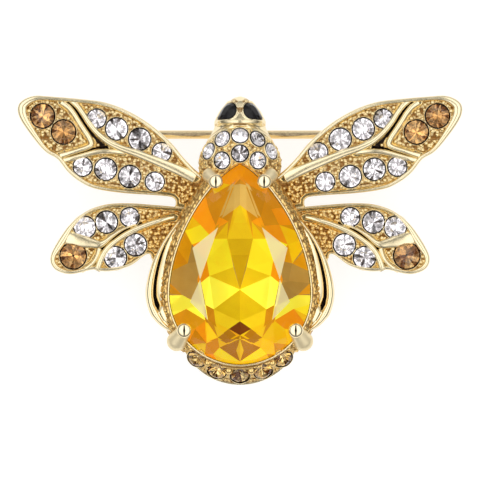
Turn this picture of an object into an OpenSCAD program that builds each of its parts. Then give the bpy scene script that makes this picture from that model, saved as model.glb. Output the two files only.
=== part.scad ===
// Bee brooch: one gilt casting set with cut stones, and the pin that fastens it.
// The brooch lies on its back. X runs across the wings, Y towards the head, Z out of the face.
// The origin is under the middle of the outline, on the plane that the brooch rests on.

/* [Centre stone] */
// Length of the pear stone, tip to round end
gem_len = 18; // [16:0.1:20]
// Width of the pear stone
gem_w = 12.7; // [11.5:0.1:14]
// Height of the crown, from girdle to table
gem_crown = 2.1; // [1.6:0.1:2.6]
// Depth of the pavilion, from girdle to culet
gem_pavilion = 4.1; // [3:0.1:4.6]
// Height of the girdle above the resting plane
girdle_z = 6.3; // [6:0.1:7.5]

/* [Wings] */
// Width of the brooch, wing tip to wing tip
span = 40.3; // [36:0.1:46]
// Height of an upper wing's outline
upper_wing_h = 9.38; // [8.6:0.02:11]
// How far the foot of the upper wing lies below the tip of the centre stone
upper_wing_drop = 3.12; // [2.6:0.02:3.6]
// Width over the two lower wings
lower_span = 34.1; // [31:0.1:38]
// Height of a lower wing's outline
lower_wing_h = 6.62; // [6:0.02:8]
// How far the top of the lower wing lies below the tip of the centre stone
lower_wing_drop = 3.65; // [3.4:0.01:4.4]
// Height of the wings' flat backs above the resting plane
wing_back_z = 3.3; // [3:0.1:3.8]
// Thickness of a wing's sunk ground
wing_t = 1.15; // [1:0.05:1.5]
// Width of a wing's polished rim
rim_w = 0.42; // [0.3:0.02:0.6]
// Height of the rim above the ground
rim_h = 0.34; // [0.2:0.02:0.5]
// Width of a wing's main vein
vein_w = 0.66; // [0.5:0.02:0.9]
// Height of the main vein above the ground
vein_h = 0.6; // [0.4:0.02:0.8]

/* [Small stones] */
// Diameter of the topaz stones in the upper wings
topaz_d = 2.12; // [1.8:0.02:2.3]
// Diameter of the topaz stones in the lower wings
low_topaz_d = 2.32; // [2:0.02:2.6]
// Diameter of the larger clear stones
clear_d = 1.92; // [1.7:0.02:2.1]
// Diameter of the smaller clear stones
small_clear_d = 1.64; // [1.4:0.02:1.8]
// Diameter of the clear stones on the thorax
thorax_stone_d = 1.42; // [1.3:0.02:1.6]
// Diameter of the topaz stones in the tail
tail_stone_d = 1.5; // [1.3:0.02:1.7]
// Clearance between a stone and its pocket
stone_gap = 0.04; // [0.02:0.01:0.06]
// Height of a small stone's girdle above the metal around it
stone_rise = 0.16; // [0.05:0.01:0.25]

/* [Head and thorax] */
// Width of the head
head_w = 4.7; // [4.2:0.1:5.4]
// Length of the head, from the thorax to its top
head_len = 3; // [2.6:0.1:3.6]
// Height of the head above the waist of the body
head_h = 2.1; // [1.8:0.1:2.6]
// Width of the thorax dome
thorax_w = 7.7; // [7:0.1:8.6]
// Length of the thorax dome above the tip of the centre stone
thorax_len = 3.2; // [2.9:0.1:3.8]
// Height of the thorax dome's top above the resting plane
thorax_top_z = 7.3; // [7:0.1:8]
// Length of a drop-shaped eye stone
eye_len = 1.75; // [1.5:0.05:2]
// Width of a drop-shaped eye stone
eye_w = 1.2; // [1:0.05:1.35]

/* [Cup, bars and tail] */
// Width of the grained strip of the cup around the centre stone
strip_w = 0.75; // [0.6:0.05:1]
// Width of the polished bars beside the cup
bar_w = 1; // [0.8:0.05:1.2]
// How far the middle of a bar bows out from the centre stone
bar_bow = 1.72; // [1.5:0.02:2]
// Reach of the tail below the centre stone
tail_len = 1.87; // [1.7:0.01:2.4]
// Height of the tail's outer edge above the resting plane
tail_low_z = 3.9; // [3.4:0.1:4.4]
// Width of the cup's flat foot, which the brooch rests on
foot_w = 5.6; // [4.5:0.1:7]

/* [Prongs] */
// Diameter of a prong's round head
prong_d = 1.16; // [1:0.02:1.3]
// Clearance between the centre stone and the metal that holds it
gem_gap = 0.05; // [0.03:0.01:0.1]

/* [Pin] */
// Diameter of the pin wire
pin_d = 0.8; // [0.7:0.02:0.9]
// Height of the pin's axis above the resting plane
pin_z = 1.25; // [1.15:0.05:1.5]
// How far the pin lies above the tip of the centre stone
pin_rise = 2.78; // [2.4:0.02:3.2]
// Distance of the hinge axis from the wing tip
hinge_in = 6.95; // [5.6:0.05:8]
// Distance of the catch's middle from the wing tip
catch_in = 7.55; // [6.2:0.05:8.6]
// Length of the pin's tapered point
point_len = 3.2; // [2.5:0.1:4]
// How far the point reaches past the catch's middle
point_past = 1.3; // [0.8:0.1:1.6]
// Diameter of the hinge rivet
rivet_d = 0.56; // [0.5:0.02:0.7]
// Running clearance of the rivet in its holes
rivet_gap = 0.03; // [0.02:0.01:0.05]
// Clearance on each side of what moves in the hinge and the catch
side_gap = 0.06; // [0.04:0.01:0.1]
// Thickness of the sheet metal of the hinge and the catch
sheet_t = 0.5; // [0.4:0.05:0.7]

/* [Hidden] */
gem_r = gem_w/2;
gem_rise = gem_len - gem_r;
// What rises highest above the tip of the centre stone: the head or the upper wings
above_tip = max(head_len + thorax_len, upper_wing_h - upper_wing_drop);
total_h = above_tip + gem_len + tail_len;
gem_tip_y = total_h/2 - above_tip;
gem_y = gem_tip_y - gem_rise;
pin_y = gem_tip_y + pin_rise;
hinge_x = span/2 - hinge_in;
catch_x = span/2 - catch_in;
ground_z = wing_back_z + wing_t;
girdle_t = 0.2;
head_y = gem_tip_y + thorax_len;
tail_slope = atan((girdle_z - tail_low_z)/tail_len);

// Where the wings start, inside the body of the brooch
wing_root_x = 2;

// An upper wing's outline, round from the root by the leading edge and the tip:
// share of the wing's reach, share of its height, width of the rim
UPPER_WING = [
    [0.00, 0.120, 1.0], [0.10, 0.265, 1.0], [0.17, 0.400, 1.0], [0.24, 0.560, 1.0],
    [0.345, 0.735, 1.0], [0.46, 0.865, 1.0], [0.57, 0.940, 1.0], [0.685, 0.970, 1.0],
    [0.835, 0.995, 1.0], [0.92, 1.000, 1.4], [0.98, 0.950, 1.9], [1.00, 0.870, 2.1],
    [0.98, 0.750, 1.8], [0.905, 0.550, 1.3], [0.855, 0.450, 1.0], [0.80, 0.385, 1.0],
    [0.75, 0.265, 1.0], [0.69, 0.170, 1.0], [0.61, 0.100, 1.0], [0.475, 0.060, 1.0],
    [0.325, 0.040, 1.0], [0.20, -0.010, 1.0], [0.10, -0.060, 1.0], [0.00, -0.080, 1.0]
];
// Its main vein and the branch to the trailing edge:
// share of the reach, share of the height, width, height
UPPER_VEIN = [
    [0.12, 0.135, 0.8, 0.4], [0.215, 0.215, 1.0, 0.8], [0.285, 0.280, 1.1, 1.0], [0.40, 0.370, 1.1, 1.0],
    [0.49, 0.450, 1.0, 1.0], [0.55, 0.510, 0.9, 1.0], [0.595, 0.590, 0.8, 0.9], [0.635, 0.680, 0.8, 0.9],
    [0.675, 0.785, 0.8, 0.9], [0.715, 0.885, 0.8, 0.8], [0.765, 0.945, 0.7, 0.7], [0.83, 0.965, 0.6, 0.5]
];
UPPER_BRANCH = [
    [0.56, 0.515, 0.8, 1.0], [0.625, 0.505, 0.9, 0.9], [0.685, 0.485, 0.8, 0.8],
    [0.745, 0.445, 0.8, 0.7], [0.80, 0.390, 0.7, 0.5]
];
// Its stones: share of the reach, share of the height, diameter
UPPER_STONES = [
    [0.875, 0.805, topaz_d], [0.77, 0.650, topaz_d],
    [0.605, 0.780, small_clear_d], [0.505, 0.680, clear_d],
    [0.39, 0.580, clear_d], [0.28, 0.455, small_clear_d],
    [0.675, 0.315, small_clear_d], [0.56, 0.290, clear_d],
    [0.44, 0.220, clear_d], [0.315, 0.170, small_clear_d]
];
// The same for a lower wing, round from the root by the upper edge
LOWER_WING = [
    [0.00, 0.850, 1.0], [0.15, 0.950, 1.0], [0.295, 0.970, 1.0], [0.48, 0.995, 1.0], [0.62, 0.985, 1.0],
    [0.72, 0.930, 1.1], [0.83, 0.810, 1.7], [0.905, 0.650, 2.3], [0.97, 0.420, 2.2], [1.00, 0.255, 1.8],
    [0.985, 0.120, 1.5], [0.94, 0.030, 1.3], [0.885, 0.000, 1.1], [0.805, 0.025, 1.0], [0.735, 0.065, 1.0],
    [0.67, 0.055, 1.0], [0.59, 0.070, 1.0], [0.505, 0.155, 1.0], [0.41, 0.310, 1.0], [0.345, 0.440, 1.0],
    [0.22, 0.550, 1.0], [0.00, 0.600, 1.0]
];
LOWER_VEIN = [
    [0.20, 0.830, 0.6, 0.5], [0.345, 0.760, 0.9, 0.9], [0.435, 0.700, 1.0, 1.0], [0.515, 0.625, 1.0, 1.0],
    [0.595, 0.530, 1.0, 1.0], [0.66, 0.460, 1.1, 1.0], [0.71, 0.420, 1.3, 1.0], [0.765, 0.445, 1.6, 0.9],
    [0.83, 0.480, 2.0, 0.8], [0.89, 0.510, 2.0, 0.6]
];
LOWER_BRANCH = [
    [0.70, 0.420, 1.1, 1.0], [0.725, 0.330, 1.0, 0.9], [0.745, 0.220, 0.9, 0.8],
    [0.755, 0.140, 0.9, 0.7], [0.765, 0.060, 0.8, 0.5]
];
LOWER_STONES = [
    [0.865, 0.280, low_topaz_d],
    [0.795, 0.670, clear_d], [0.665, 0.740, clear_d], [0.525, 0.810, small_clear_d],
    [0.61, 0.255, clear_d], [0.49, 0.430, clear_d]
];

// The thorax and the head, from behind the tip of the centre stone to the top of the head:
// share of the length, share of the half width, share of the height above the waist
THORAX_ROWS = [
    [-0.75, 0.70, 0.72], [-0.4, 0.92, 0.92], [0, 1.00, 1.00], [0.25, 0.955, 1.00],
    [0.5, 0.85, 0.95], [0.75, 0.735, 0.86], [0.95, 0.645, 0.74]
];
HEAD_ROWS = [
    [0.04, 1.00, 0.93], [0.10, 0.97, 0.90], [0.17, 1.00, 1.00], [0.27, 0.985, 1.04], [0.36, 0.93, 1.00],
    [0.59, 0.77, 0.90], [0.82, 0.48, 0.72], [0.94, 0.26, 0.52], [1.00, 0.07, 0.30]
];
// The thorax stones: share of the dome's half width, share of its length
THORAX_STONES = [[0, 0.31], [0, 0.81], [0.43, 0.115], [0.54, 0.72], [0.80, 0.375]];
// The tail stones: angle either side of the middle
TAIL_STONES = [0, 16.6, 33.5];
tail_half_angle = 46;

// The centre stone's facets: share of the half width, share of the length above or below its widest line
GEM_TABLE = [[0.12, 0.825], [0.31, 0.514], [0.565, 0.11], [0.457, -0.37], [0.13, -0.53]];
GEM_BREAKS = [[0.22, 0.87], [0.37, 0.70], [0.66, 0.40], [0.77, -0.14], [0.50, -0.68], [0, -0.80]];
gem_break_share = 0.55;
// The row of breaks on the pavilion: share drawn in towards the culet, share of the depth
gem_waist_in = 0.66;
gem_waist_down = 0.45;

// A point moved in from the outline of the pear, as a share of each half
function in_gem(p) = [p.x*gem_r, gem_y + p.y*(p.y > 0 ? gem_rise : gem_r)];

// A Catmull-Rom curve through points of any dimension, with a number of steps between two of them
function between(a, b, c, d, t) =
    0.5*(2*b + (c - a)*t + (2*a - 5*b + 4*c - d)*t*t + (3*b - a - 3*c + d)*t*t*t);
function curve(points, steps) = let (last = len(points) - 1) [
    for (i = [0:last - 1]) for (s = [0:steps - 1])
        between(points[max(i - 1, 0)], points[i], points[i + 1], points[min(i + 2, last)], s/steps),
    points[last]
];
function loop(points, steps) = let (n = len(points)) [
    for (i = [0:n - 1]) for (s = [0:steps - 1])
        between(points[(i + n - 1) % n], points[i], points[(i + 1) % n], points[(i + 2) % n], s/steps)
];
function at_z(points, z) = [for (p = points) [p.x, p.y, z]];
function unit(v) = v/norm(v);
// The direction square to a flat path at one of its points, to the right of its travel
function square_to(points, i, closed) = let (
    n = len(points),
    before = points[closed ? (i + n - 1) % n : max(i - 1, 0)],
    after = points[closed ? (i + 1) % n : min(i + 1, n - 1)],
    way = unit([after.x - before.x, after.y - before.y])
) [way.y, -way.x];
// A closed outline, run clockwise, moved inwards by a distance or by a distance for each point
function inset(points, d) = [
    for (i = [0:len(points) - 1]) let (k = is_list(d) ? d[i] : d, s = square_to(points, i, true))
        [points[i].x + k*s.x, points[i].y + k*s.y]
];

// The outline of a drop with a round end of radius r and a tip that rises above its centre, clockwise
// from the tip. The round half is a circle. The pointed half is cos(a)^1.54 wide and sin(a)^1.11 high.
function drop_at(a, r, rise) = a < 0
    ? [r*cos(a), r*sin(a)]
    : [r*pow(cos(a), 1.54), rise*pow(sin(a), 1.11)];
function drop(r, rise, steps) = let (
    half = [for (i = [1:steps - 1]) drop_at(90 - 180*i/steps, r, rise)]
) concat([[0, rise]], half, [[0, -r]], [for (i = [len(half) - 1:-1:0]) [-half[i].x, half[i].y]]);
// The pear stone's outline in its place, and the same outline let out by a distance
pear_steps = 16;
function pear_at(a) = [0, gem_y] + drop_at(a, gem_r, gem_rise);
function pear(grow = 0) = inset([for (p = drop(gem_r, gem_rise, pear_steps)) [p.x, p.y + gem_y]], -grow);
// The outline drawn in towards the culet
function pear_share(share, grow = 0) = [for (p = pear(grow)) [p.x*share, gem_y + (p.y - gem_y)*share]];
// A point on the pear's right side at an angle, and the direction out of the stone there
function pear_out(a) = let (d = pear_at(a + 1) - pear_at(a - 1)) unit([d.y, -d.x]);
function beside_pear(a, out) = pear_at(a) + out*pear_out(a);

// A solid through loops of equal length, each clockwise from above and one above another, or one
// behind another along a path, closed by its first and last loop
module stack(loops) {
    n = len(loops[0]);
    levels = len(loops);
    polyhedron(
        points = [for (l = loops) each l],
        faces = concat(
            [[for (i = [n - 1:-1:0]) i]],
            [for (k = [0:levels - 2]) for (i = [0:n - 1]) let (j = (i + 1) % n)
                each [[k*n + i, k*n + j, (k + 1)*n + j], [k*n + i, (k + 1)*n + j, (k + 1)*n + i]]],
            [[for (i = [0:n - 1]) (levels - 1)*n + i]]
        )
    );
}
// The convex solid around points
module around(points) {
    hull() polyhedron(points, [for (i = [1:len(points) - 2]) [0, i, i + 1]]);
}
// A rounded ridge along a path of points [x, y, half width, height], sunk a little into what carries it
RIDGE_SECTION = [[1, 0], [0.75, 0.7], [0, 1], [-0.75, 0.7], [-1, 0]];
ridge_sink = 0.25;
module ridge(path, z) {
    sections = [
        for (i = [0:len(path) - 1]) let (p = path[i], s = square_to(path, i, false)) concat(
            [for (q = RIDGE_SECTION) [p.x + q.x*p[2]*s.x, p.y + q.x*p[2]*s.y, z + q.y*p[3]]],
            [for (side = [-1, 1]) [p.x + side*p[2]*s.x, p.y + side*p[2]*s.y, z - ridge_sink]]
        )
    ];
    stack(sections);
}
module both_sides() {
    children();
    mirror([1, 0, 0]) children();
}
// Turns what stands on Z so that it stands along a direction, and moves it to a place
module stand(place, way) {
    turn = atan2(way.y, way.x);
    translate(place) rotate([0, acos(way.z), turn]) rotate([0, 0, -turn]) children();
}

// The wings
wing_steps = 3;
vein_steps = 2;
upper_base_y = gem_tip_y - upper_wing_drop;
lower_base_y = gem_tip_y - lower_wing_drop - lower_wing_h;
function in_upper(p) = [
    wing_root_x + p[0]*(span/2 - wing_root_x), upper_base_y + p[1]*upper_wing_h
];
function in_lower(p) = [
    wing_root_x + p[0]*(lower_span/2 - wing_root_x), lower_base_y + p[1]*lower_wing_h
];
upper_stones = [for (s = UPPER_STONES) concat(in_upper(s), [s[2]])];
lower_stones = [for (s = LOWER_STONES) concat(in_lower(s), [s[2]])];

// A wing's plate with its raised rim, through corners [x, y, share of the rim's width]
module wing_plate(corners) {
    edge = [for (c = loop(corners, wing_steps)) [c.x, c.y]];
    rim = [for (c = loop(corners, wing_steps)) c.z*rim_w];
    stack([
        at_z(edge, wing_back_z),
        at_z(edge, ground_z),
        at_z(inset(edge, 0.3*rim), ground_z + rim_h),
        at_z(inset(edge, 0.65*rim), ground_z + rim_h),
        at_z(inset(edge, rim), ground_z)
    ]);
}
// A vein along points [x, y, share of the width, share of the height]
module vein(points) {
    ridge([for (p = curve(points, vein_steps)) [p.x, p.y, p[2]*vein_w/2, p[3]*vein_h]], ground_z);
}
module upper_wing() {
    wing_plate([for (p = UPPER_WING) concat(in_upper(p), [p[2]])]);
    vein([for (p = UPPER_VEIN) concat(in_upper(p), [p[2], p[3]])]);
    vein([for (p = UPPER_BRANCH) concat(in_upper(p), [p[2], p[3]])]);
}
module lower_wing() {
    wing_plate([for (p = LOWER_WING) concat(in_lower(p), [p[2]])]);
    vein([for (p = LOWER_VEIN) concat(in_lower(p), [p[2], p[3]])]);
    vein([for (p = LOWER_BRANCH) concat(in_lower(p), [p[2], p[3]])]);
}

// The head and the thorax: rows of distance up the body, half width and height above the waist
waist_rise = 0.8;
waist_z = wing_back_z + waist_rise;
belly = 0.8;
nostril_r = 0.26;
body_rows = curve(concat(
    [for (r = THORAX_ROWS) [gem_tip_y + r[0]*thorax_len, r[1]*thorax_w/2, r[2]*(thorax_top_z - waist_z)]],
    [for (r = HEAD_ROWS) [head_y + r[0]*head_len, r[1]*head_w/2, r[2]*head_h]]
), 2);
body_sides = 20;
// A point on the upper side of the body, at a share of its half width and a distance up it
function on_body(across, y) = let (
    half = lookup(y, [for (r = body_rows) [r[0], r[1]]]),
    high = lookup(y, [for (r = body_rows) [r[0], r[2]]])
) [across*half, y, waist_z + high*sqrt(1 - across*across)];
// The direction out of the body there
function out_of_body(across, y) = unit(cross(
    on_body(across + 0.08, y) - on_body(across - 0.08, y),
    on_body(across, y + 0.25) - on_body(across, y - 0.25)
));
module head_and_thorax() {
    stack([for (r = body_rows) [
        for (k = [0:body_sides - 1]) let (a = -90 + 360*k/body_sides)
            [r[1]*cos(a), r[0], waist_z + sin(a)*(sin(a) > 0 ? r[2] : belly*min(1, r[1]/belly))]
    ]]);
    both_sides() translate(on_body(0.4, head_y + 0.85*head_len)) sphere(r = nostril_r, $fn = 12);
}

// The cup of the centre stone, from its foot to the thin rim at the girdle
rim_out = 0.26;
rim_wall = 0.15;
strip_drop = 0.35;
cup_rim_z = girdle_z + girdle_t/2;
strip_in_z = girdle_z - rim_wall;
strip_out_z = girdle_z - strip_drop;
module cup() {
    stack([
        at_z(pear_share(foot_w/gem_w), 0),
        at_z(pear_share(0.72), 0.4*wing_back_z),
        at_z(pear(0.6*strip_w), wing_back_z),
        at_z(pear(1.4*strip_w), ground_z),
        at_z(pear(strip_w), strip_out_z),
        at_z(pear(rim_out), strip_in_z),
        at_z(pear(rim_out), cup_rim_z),
        at_z(pear(gem_gap), cup_rim_z)
    ]);
}
// The polished bar beside the cup: its path keeps off the stone by a cosine of the angle round it
bar_foot_rise = 0.3;
bar_groove_rise = 0.45;
bar_shoulder = 0.4;
bar_fall = 0.25;
bar_top_z = strip_out_z;
bar_foot_z = wing_back_z + bar_foot_rise;
bar_groove_z = ground_z + bar_groove_rise;
function bar_swell(a) = cos(2*(a + 2));
module side_bar() {
    stack([for (a = [-38:5:32]) let (
        bow = bar_bow*bar_swell(a),
        w = bar_w*(0.55 + 0.45*bar_swell(a)),
        section = [
            [bow + w/2, bar_foot_z], [bow + 0.45*w, bar_top_z - bar_shoulder], [bow + 0.12*w, bar_top_z],
            [bow - 0.35*w, bar_top_z - bar_fall], [bow - w/2, bar_groove_z], [0, bar_groove_z],
            [0, bar_foot_z]
        ]
    ) [for (q = section) let (p = beside_pear(a, q.x)) [p.x, p.y, q.y]]]);
}
// The tail: a sloping crescent round the end of the cup, its width falling off with the angle squared
function tail_reach(a) = tail_len*(1 - 0.63*pow(a/tail_half_angle, 2));
function tail_point(a, out, z) = [(gem_r + out)*sin(a), gem_y - (gem_r + out)*cos(a), z];
tail_step = 0.1;
tail_root = 1.2;
tail_edge = 0.75;
tail_round = 0.15;
tail_under = 0.25;
// A point on the slope, at a share of its width, and the direction out of it
function on_tail(a, share) =
    tail_point(a, share*tail_reach(a), girdle_z - tail_step - tan(tail_slope)*share*tail_reach(a));
function out_of_tail(a) = [sin(tail_slope)*sin(a), -sin(tail_slope)*cos(a), cos(tail_slope)];
module tail() {
    stack([for (a = [-tail_half_angle:tail_half_angle/10:tail_half_angle]) let (
        low = on_tail(a, 1).z
    ) [
        tail_point(a, tail_reach(a) - tail_under, low - tail_edge),
        tail_point(a, tail_reach(a), low - tail_round),
        on_tail(a, 0.97), on_tail(a, 0.05), tail_point(a, -tail_root, wing_back_z)
    ]]);
}

// The prongs: angle round the stone and distance out of the ball, the same of the root, and the
// ball's height above the girdle as a share of the prong's diameter
PRONGS = [[62, 0.19, 63, 1.15, 0.94], [-33.5, -0.33, -36.5, 0.85, 0.95]];
root_d = 1.18*prong_d;
module prong(p) {
    ball = concat(beside_pear(p[0], p[1]), [girdle_z + p[4]*prong_d + gem_gap]);
    knee = concat(beside_pear(p[2], 0.92*p[3]), [girdle_z + 0.3*prong_d]);
    root = concat(beside_pear(p[2], p[3]), [ground_z]);
    hull() {
        translate(ball) sphere(d = prong_d, $fn = 16);
        translate(knee) sphere(d = 0.92*prong_d, $fn = 12);
    }
    hull() {
        translate(knee) sphere(d = 0.92*prong_d, $fn = 12);
        translate(root) sphere(d = root_d, $fn = 12);
    }
}

// A round stone, table up, its girdle at z 0: 8 sides to the table and 16 to the girdle
stone_crown = 0.36;
stone_pavilion = 0.8;
function ring(n, r, z, turn = 0) = [for (i = [0:n - 1]) let (a = turn - 360*i/n) [r*cos(a), r*sin(a), z]];
module round_stone(d) {
    r = d/2;
    around(concat(
        ring(8, 0.56*r, stone_crown*r), ring(8, 0.8*r, 0.62*stone_crown*r, 22.5),
        ring(16, r, 0), [[0, 0, -stone_pavilion*r]]
    ));
}
// Its pocket: a twelve-sided wall round the girdle over a pointed funnel for the pavilion
pocket_sides = 12;
pocket_top = 0.9;
module pocket(d) {
    r = (d/2 + stone_gap)/cos(180/pocket_sides);
    foot = -stone_gap - stone_pavilion*r;
    polyhedron(
        points = concat(
            ring(pocket_sides, r, -stone_gap), ring(pocket_sides, r, pocket_top), [[0, 0, foot]]
        ),
        faces = concat(
            [for (i = [0:pocket_sides - 1]) let (j = (i + 1) % pocket_sides) each [
                [2*pocket_sides, j, i], [i, j, j + pocket_sides, i + pocket_sides]
            ]],
            [[for (i = [0:pocket_sides - 1]) i + pocket_sides]]
        )
    );
}
// A drop-shaped eye stone, its tip towards +Y, the middle of its length at the origin
eye_r = eye_w/2;
eye_crown = 0.42;
eye_pavilion = 0.6;
eye_girdle = 0.08;
function eye_loop(grow, z) = at_z(
    [for (p = inset(drop(eye_r, eye_len - eye_r, 7), -grow)) [p.x, p.y - (eye_len - eye_w)/2]], z
);
module eye_stone() {
    around(concat(
        [for (p = eye_loop(0, eye_crown)) [0.55*p.x, 0.55*p.y, p.z]],
        eye_loop(0, eye_girdle), eye_loop(0, -eye_girdle),
        [for (p = eye_loop(0, -eye_pavilion)) [0.4*p.x, 0.4*p.y, p.z]]
    ));
}
module eye_pocket() {
    stack([eye_loop(stone_gap, -eye_pavilion - stone_gap), eye_loop(stone_gap, pocket_top)]);
}
eye_turn = -130;
module at_eye() {
    across = 0.62;
    y = head_y + 0.545*head_len;
    stand(on_body(across, y), out_of_body(across, y)) rotate([0, 0, eye_turn]) children();
}
module at_wing_stone(s) {
    translate([s.x, s.y, ground_z + stone_rise]) children();
}
module at_thorax_stone(s) {
    y = gem_tip_y + s[1]*thorax_len;
    way = out_of_body(s[0], y);
    stand(on_body(s[0], y) + stone_rise/2*way, way) children();
}
module at_tail_stone(a) {
    way = out_of_tail(a);
    stand(on_tail(a, 0.57) + stone_rise/2*way, way) children();
}
// The room for the centre stone: its pavilion let out by the clearance, and the way up out of the cup
module gem_room() {
    stack([
        at_z(pear_share(0.02), girdle_z - gem_pavilion - 1.5*gem_gap),
        at_z(pear_share(gem_waist_in, gem_gap), girdle_z - gem_waist_down*gem_pavilion),
        at_z(pear(gem_gap), girdle_z - girdle_t/2 - gem_gap),
        at_z(pear(gem_gap), thorax_top_z + 1)
    ]);
}

// Sub-parts
module body_casting() color([0.91, 0.79, 0.55]) {
    difference() {
        union() {
            both_sides() {
                upper_wing();
                lower_wing();
                side_bar();
            }
            head_and_thorax();
            cup();
            tail();
        }
        gem_room();
        both_sides() {
            for (s = concat(upper_stones, lower_stones)) at_wing_stone(s) pocket(s.z);
            for (s = THORAX_STONES) at_thorax_stone(s) pocket(thorax_stone_d);
            for (a = TAIL_STONES) at_tail_stone(a) pocket(tail_stone_d);
            at_eye() eye_pocket();
        }
    }
    both_sides() for (p = PRONGS) prong(p);
}
module centre_stone() color([0.95, 0.72, 0.05]) {
    gem_waist = [for (i = [0:2:2*pear_steps - 1]) pear_share(gem_waist_in)[i]];
    around(concat(
        [for (p = GEM_TABLE) each [for (side = [-1, 1])
            concat(in_gem([side*p.x, p.y]), [girdle_z + gem_crown])]],
        [for (p = GEM_BREAKS) each [for (side = [-1, 1])
            concat(in_gem([side*p.x, p.y]), [girdle_z + gem_break_share*gem_crown])]],
        at_z(pear(), girdle_z + girdle_t/2),
        at_z(pear(), girdle_z - girdle_t/2),
        at_z(gem_waist, girdle_z - gem_waist_down*gem_pavilion),
        [[0, gem_y, girdle_z - gem_pavilion]]
    ));
}
module eye() color([0.08, 0.07, 0.07]) at_eye() eye_stone();
module wing_stone(s) {
    topaz = s.z == topaz_d || s.z == low_topaz_d;
    color(topaz ? [0.66, 0.42, 0.18] : [0.93, 0.94, 0.97]) at_wing_stone(s) round_stone(s.z);
}
module thorax_stone(s) color([0.93, 0.94, 0.97]) at_thorax_stone(s) round_stone(thorax_stone_d);
module tail_stone(a) color([0.66, 0.42, 0.18]) at_tail_stone(a) round_stone(tail_stone_d);

// The hinge: two ears hang from a pad on the wing's back, and a rivet along Y carries the pin's knuckle.
// The ears are round about the pin's axis, with a flat cut off them where the brooch rests.
pad_t = 0.45;
knuckle_w = pin_d;
floor_cut = 0.1;
ear_r = pin_z + floor_cut;
ear_y = knuckle_w/2 + side_gap;
knuckle_lift = 0.35;
knuckle_r = pin_z - knuckle_lift;
rivet_hole_d = rivet_d + 2*rivet_gap;
rivet_head_d = 1.8*rivet_d;
rivet_head_t = 0.2;
module along_y(at_x, from, to, d) {
    translate([at_x, pin_y + from, pin_z]) rotate([-90, 0, 0]) cylinder(d = d, h = to - from, $fn = 48);
}
module hinge_bracket() color([0.86, 0.76, 0.56]) {
    wide = 2*(ear_y + sheet_t);
    difference() {
        union() {
            translate([-hinge_x - 1.25*ear_r, pin_y - wide/2, wing_back_z - pad_t])
                cube([2.5*ear_r, wide, pad_t]);
            along_y(-hinge_x, -wide/2, wide/2, 2*ear_r);
            translate([-hinge_x - ear_r, pin_y - wide/2, pin_z]) cube([2*ear_r, wide, wing_back_z - pin_z]);
        }
        translate([-hinge_x - 2*ear_r, pin_y - ear_y, -1]) cube([4*ear_r, 2*ear_y, wing_back_z - pad_t + 1]);
        translate([-hinge_x - 2*ear_r, pin_y - wide, -2]) cube([4*ear_r, 2*wide, 2]);
        along_y(-hinge_x, -wide, wide, rivet_hole_d);
    }
}
module hinge_rivet() color([0.8, 0.7, 0.5]) {
    out = ear_y + sheet_t + rivet_gap;
    along_y(-hinge_x, -out, out, rivet_d);
    along_y(-hinge_x, out, out + rivet_head_t, rivet_head_d);
    along_y(-hinge_x, -out - rivet_head_t, -out, rivet_head_d);
}
// The pin: a knuckle on the rivet, a flat neck, a round wire and a tapered point, along X
neck_len = 1.8;
tip_x = catch_x + point_past;
taper_x = tip_x - point_len;
wire_x = neck_len - hinge_x;
point_d = 0.16;
module pin_stem() color([0.86, 0.74, 0.5]) {
    difference() {
        union() {
            along_y(-hinge_x, -knuckle_w/2, knuckle_w/2, 2*knuckle_r);
            translate([-hinge_x, pin_y - knuckle_w/2, pin_z - 0.55*pin_d])
                cube([neck_len, knuckle_w, 1.1*pin_d]);
        }
        along_y(-hinge_x, -knuckle_w, knuckle_w, rivet_hole_d);
    }
    translate([wire_x, pin_y, pin_z]) rotate([0, 90, 0]) {
        cylinder(d = pin_d, h = taper_x - wire_x, $fn = 48);
        translate([0, 0, taper_x - wire_x]) cylinder(d1 = pin_d, d2 = point_d, h = point_len, $fn = 48);
    }
}
// The catch: a channel open at its foot, so that the pin swings down out of it
catch_len = 2.2;
catch_r = pin_z + floor_cut;
module catch() color([0.86, 0.76, 0.56]) {
    slot_w = pin_d + 2*side_gap;
    difference() {
        translate([catch_x - catch_len/2, pin_y, pin_z]) union() {
            rotate([0, 90, 0]) cylinder(r = catch_r, h = catch_len, $fn = 48);
            translate([0, -catch_r, 0]) cube([catch_len, 2*catch_r, wing_back_z - pin_z]);
        }
        translate([catch_x - catch_len, pin_y, pin_z]) rotate([0, 90, 0])
            cylinder(d = slot_w, h = 2*catch_len, $fn = 48);
        translate([catch_x - catch_len, pin_y - slot_w/2, -1]) cube([2*catch_len, slot_w, pin_z + 1]);
        translate([catch_x - catch_len, pin_y - 2*catch_r, -2]) cube([2*catch_len, 4*catch_r, 2]);
    }
}

// Every node: left is the side of -X
SIDES = ["left", "right"];
module on_side(side) {
    if (side == "left") mirror([1, 0, 0]) children();
    else children();
}
function wing_name(wing, side, i) = str(wing, "_wing_stone_", side, "_", i + 1);
body_casting();
centre_stone();
for (side = SIDES) {
    on_side(side) eye();
    for (i = [0:len(UPPER_STONES) - 1])
        on_side(side) wing_stone(upper_stones[i]);
    for (i = [0:len(LOWER_STONES) - 1])
        on_side(side) wing_stone(lower_stones[i]);
}
union() {  // thorax_stones
    for (s = THORAX_STONES) {
        thorax_stone(s);
        if (s[0] > 0) mirror([1, 0, 0]) thorax_stone(s);
    }
}
union() {  // tail_stones
    for (a = TAIL_STONES) {
        tail_stone(a);
        if (a > 0) mirror([1, 0, 0]) tail_stone(a);
    }
}
hinge_bracket();
hinge_rivet();
pin_stem();
catch();
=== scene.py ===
# %% [markdown]
# # A gilt bee brooch with cut stones
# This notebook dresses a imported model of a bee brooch: one gilt casting, about fifty cut stones and
# the pin on its back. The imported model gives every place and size. Each step below says what the
# piece is on the real brooch, how it could be made, and why it is made the way it is here.
#
# Lengths are in millimetres until a mesh is put down, where they become metres.

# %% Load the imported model
import math

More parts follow.
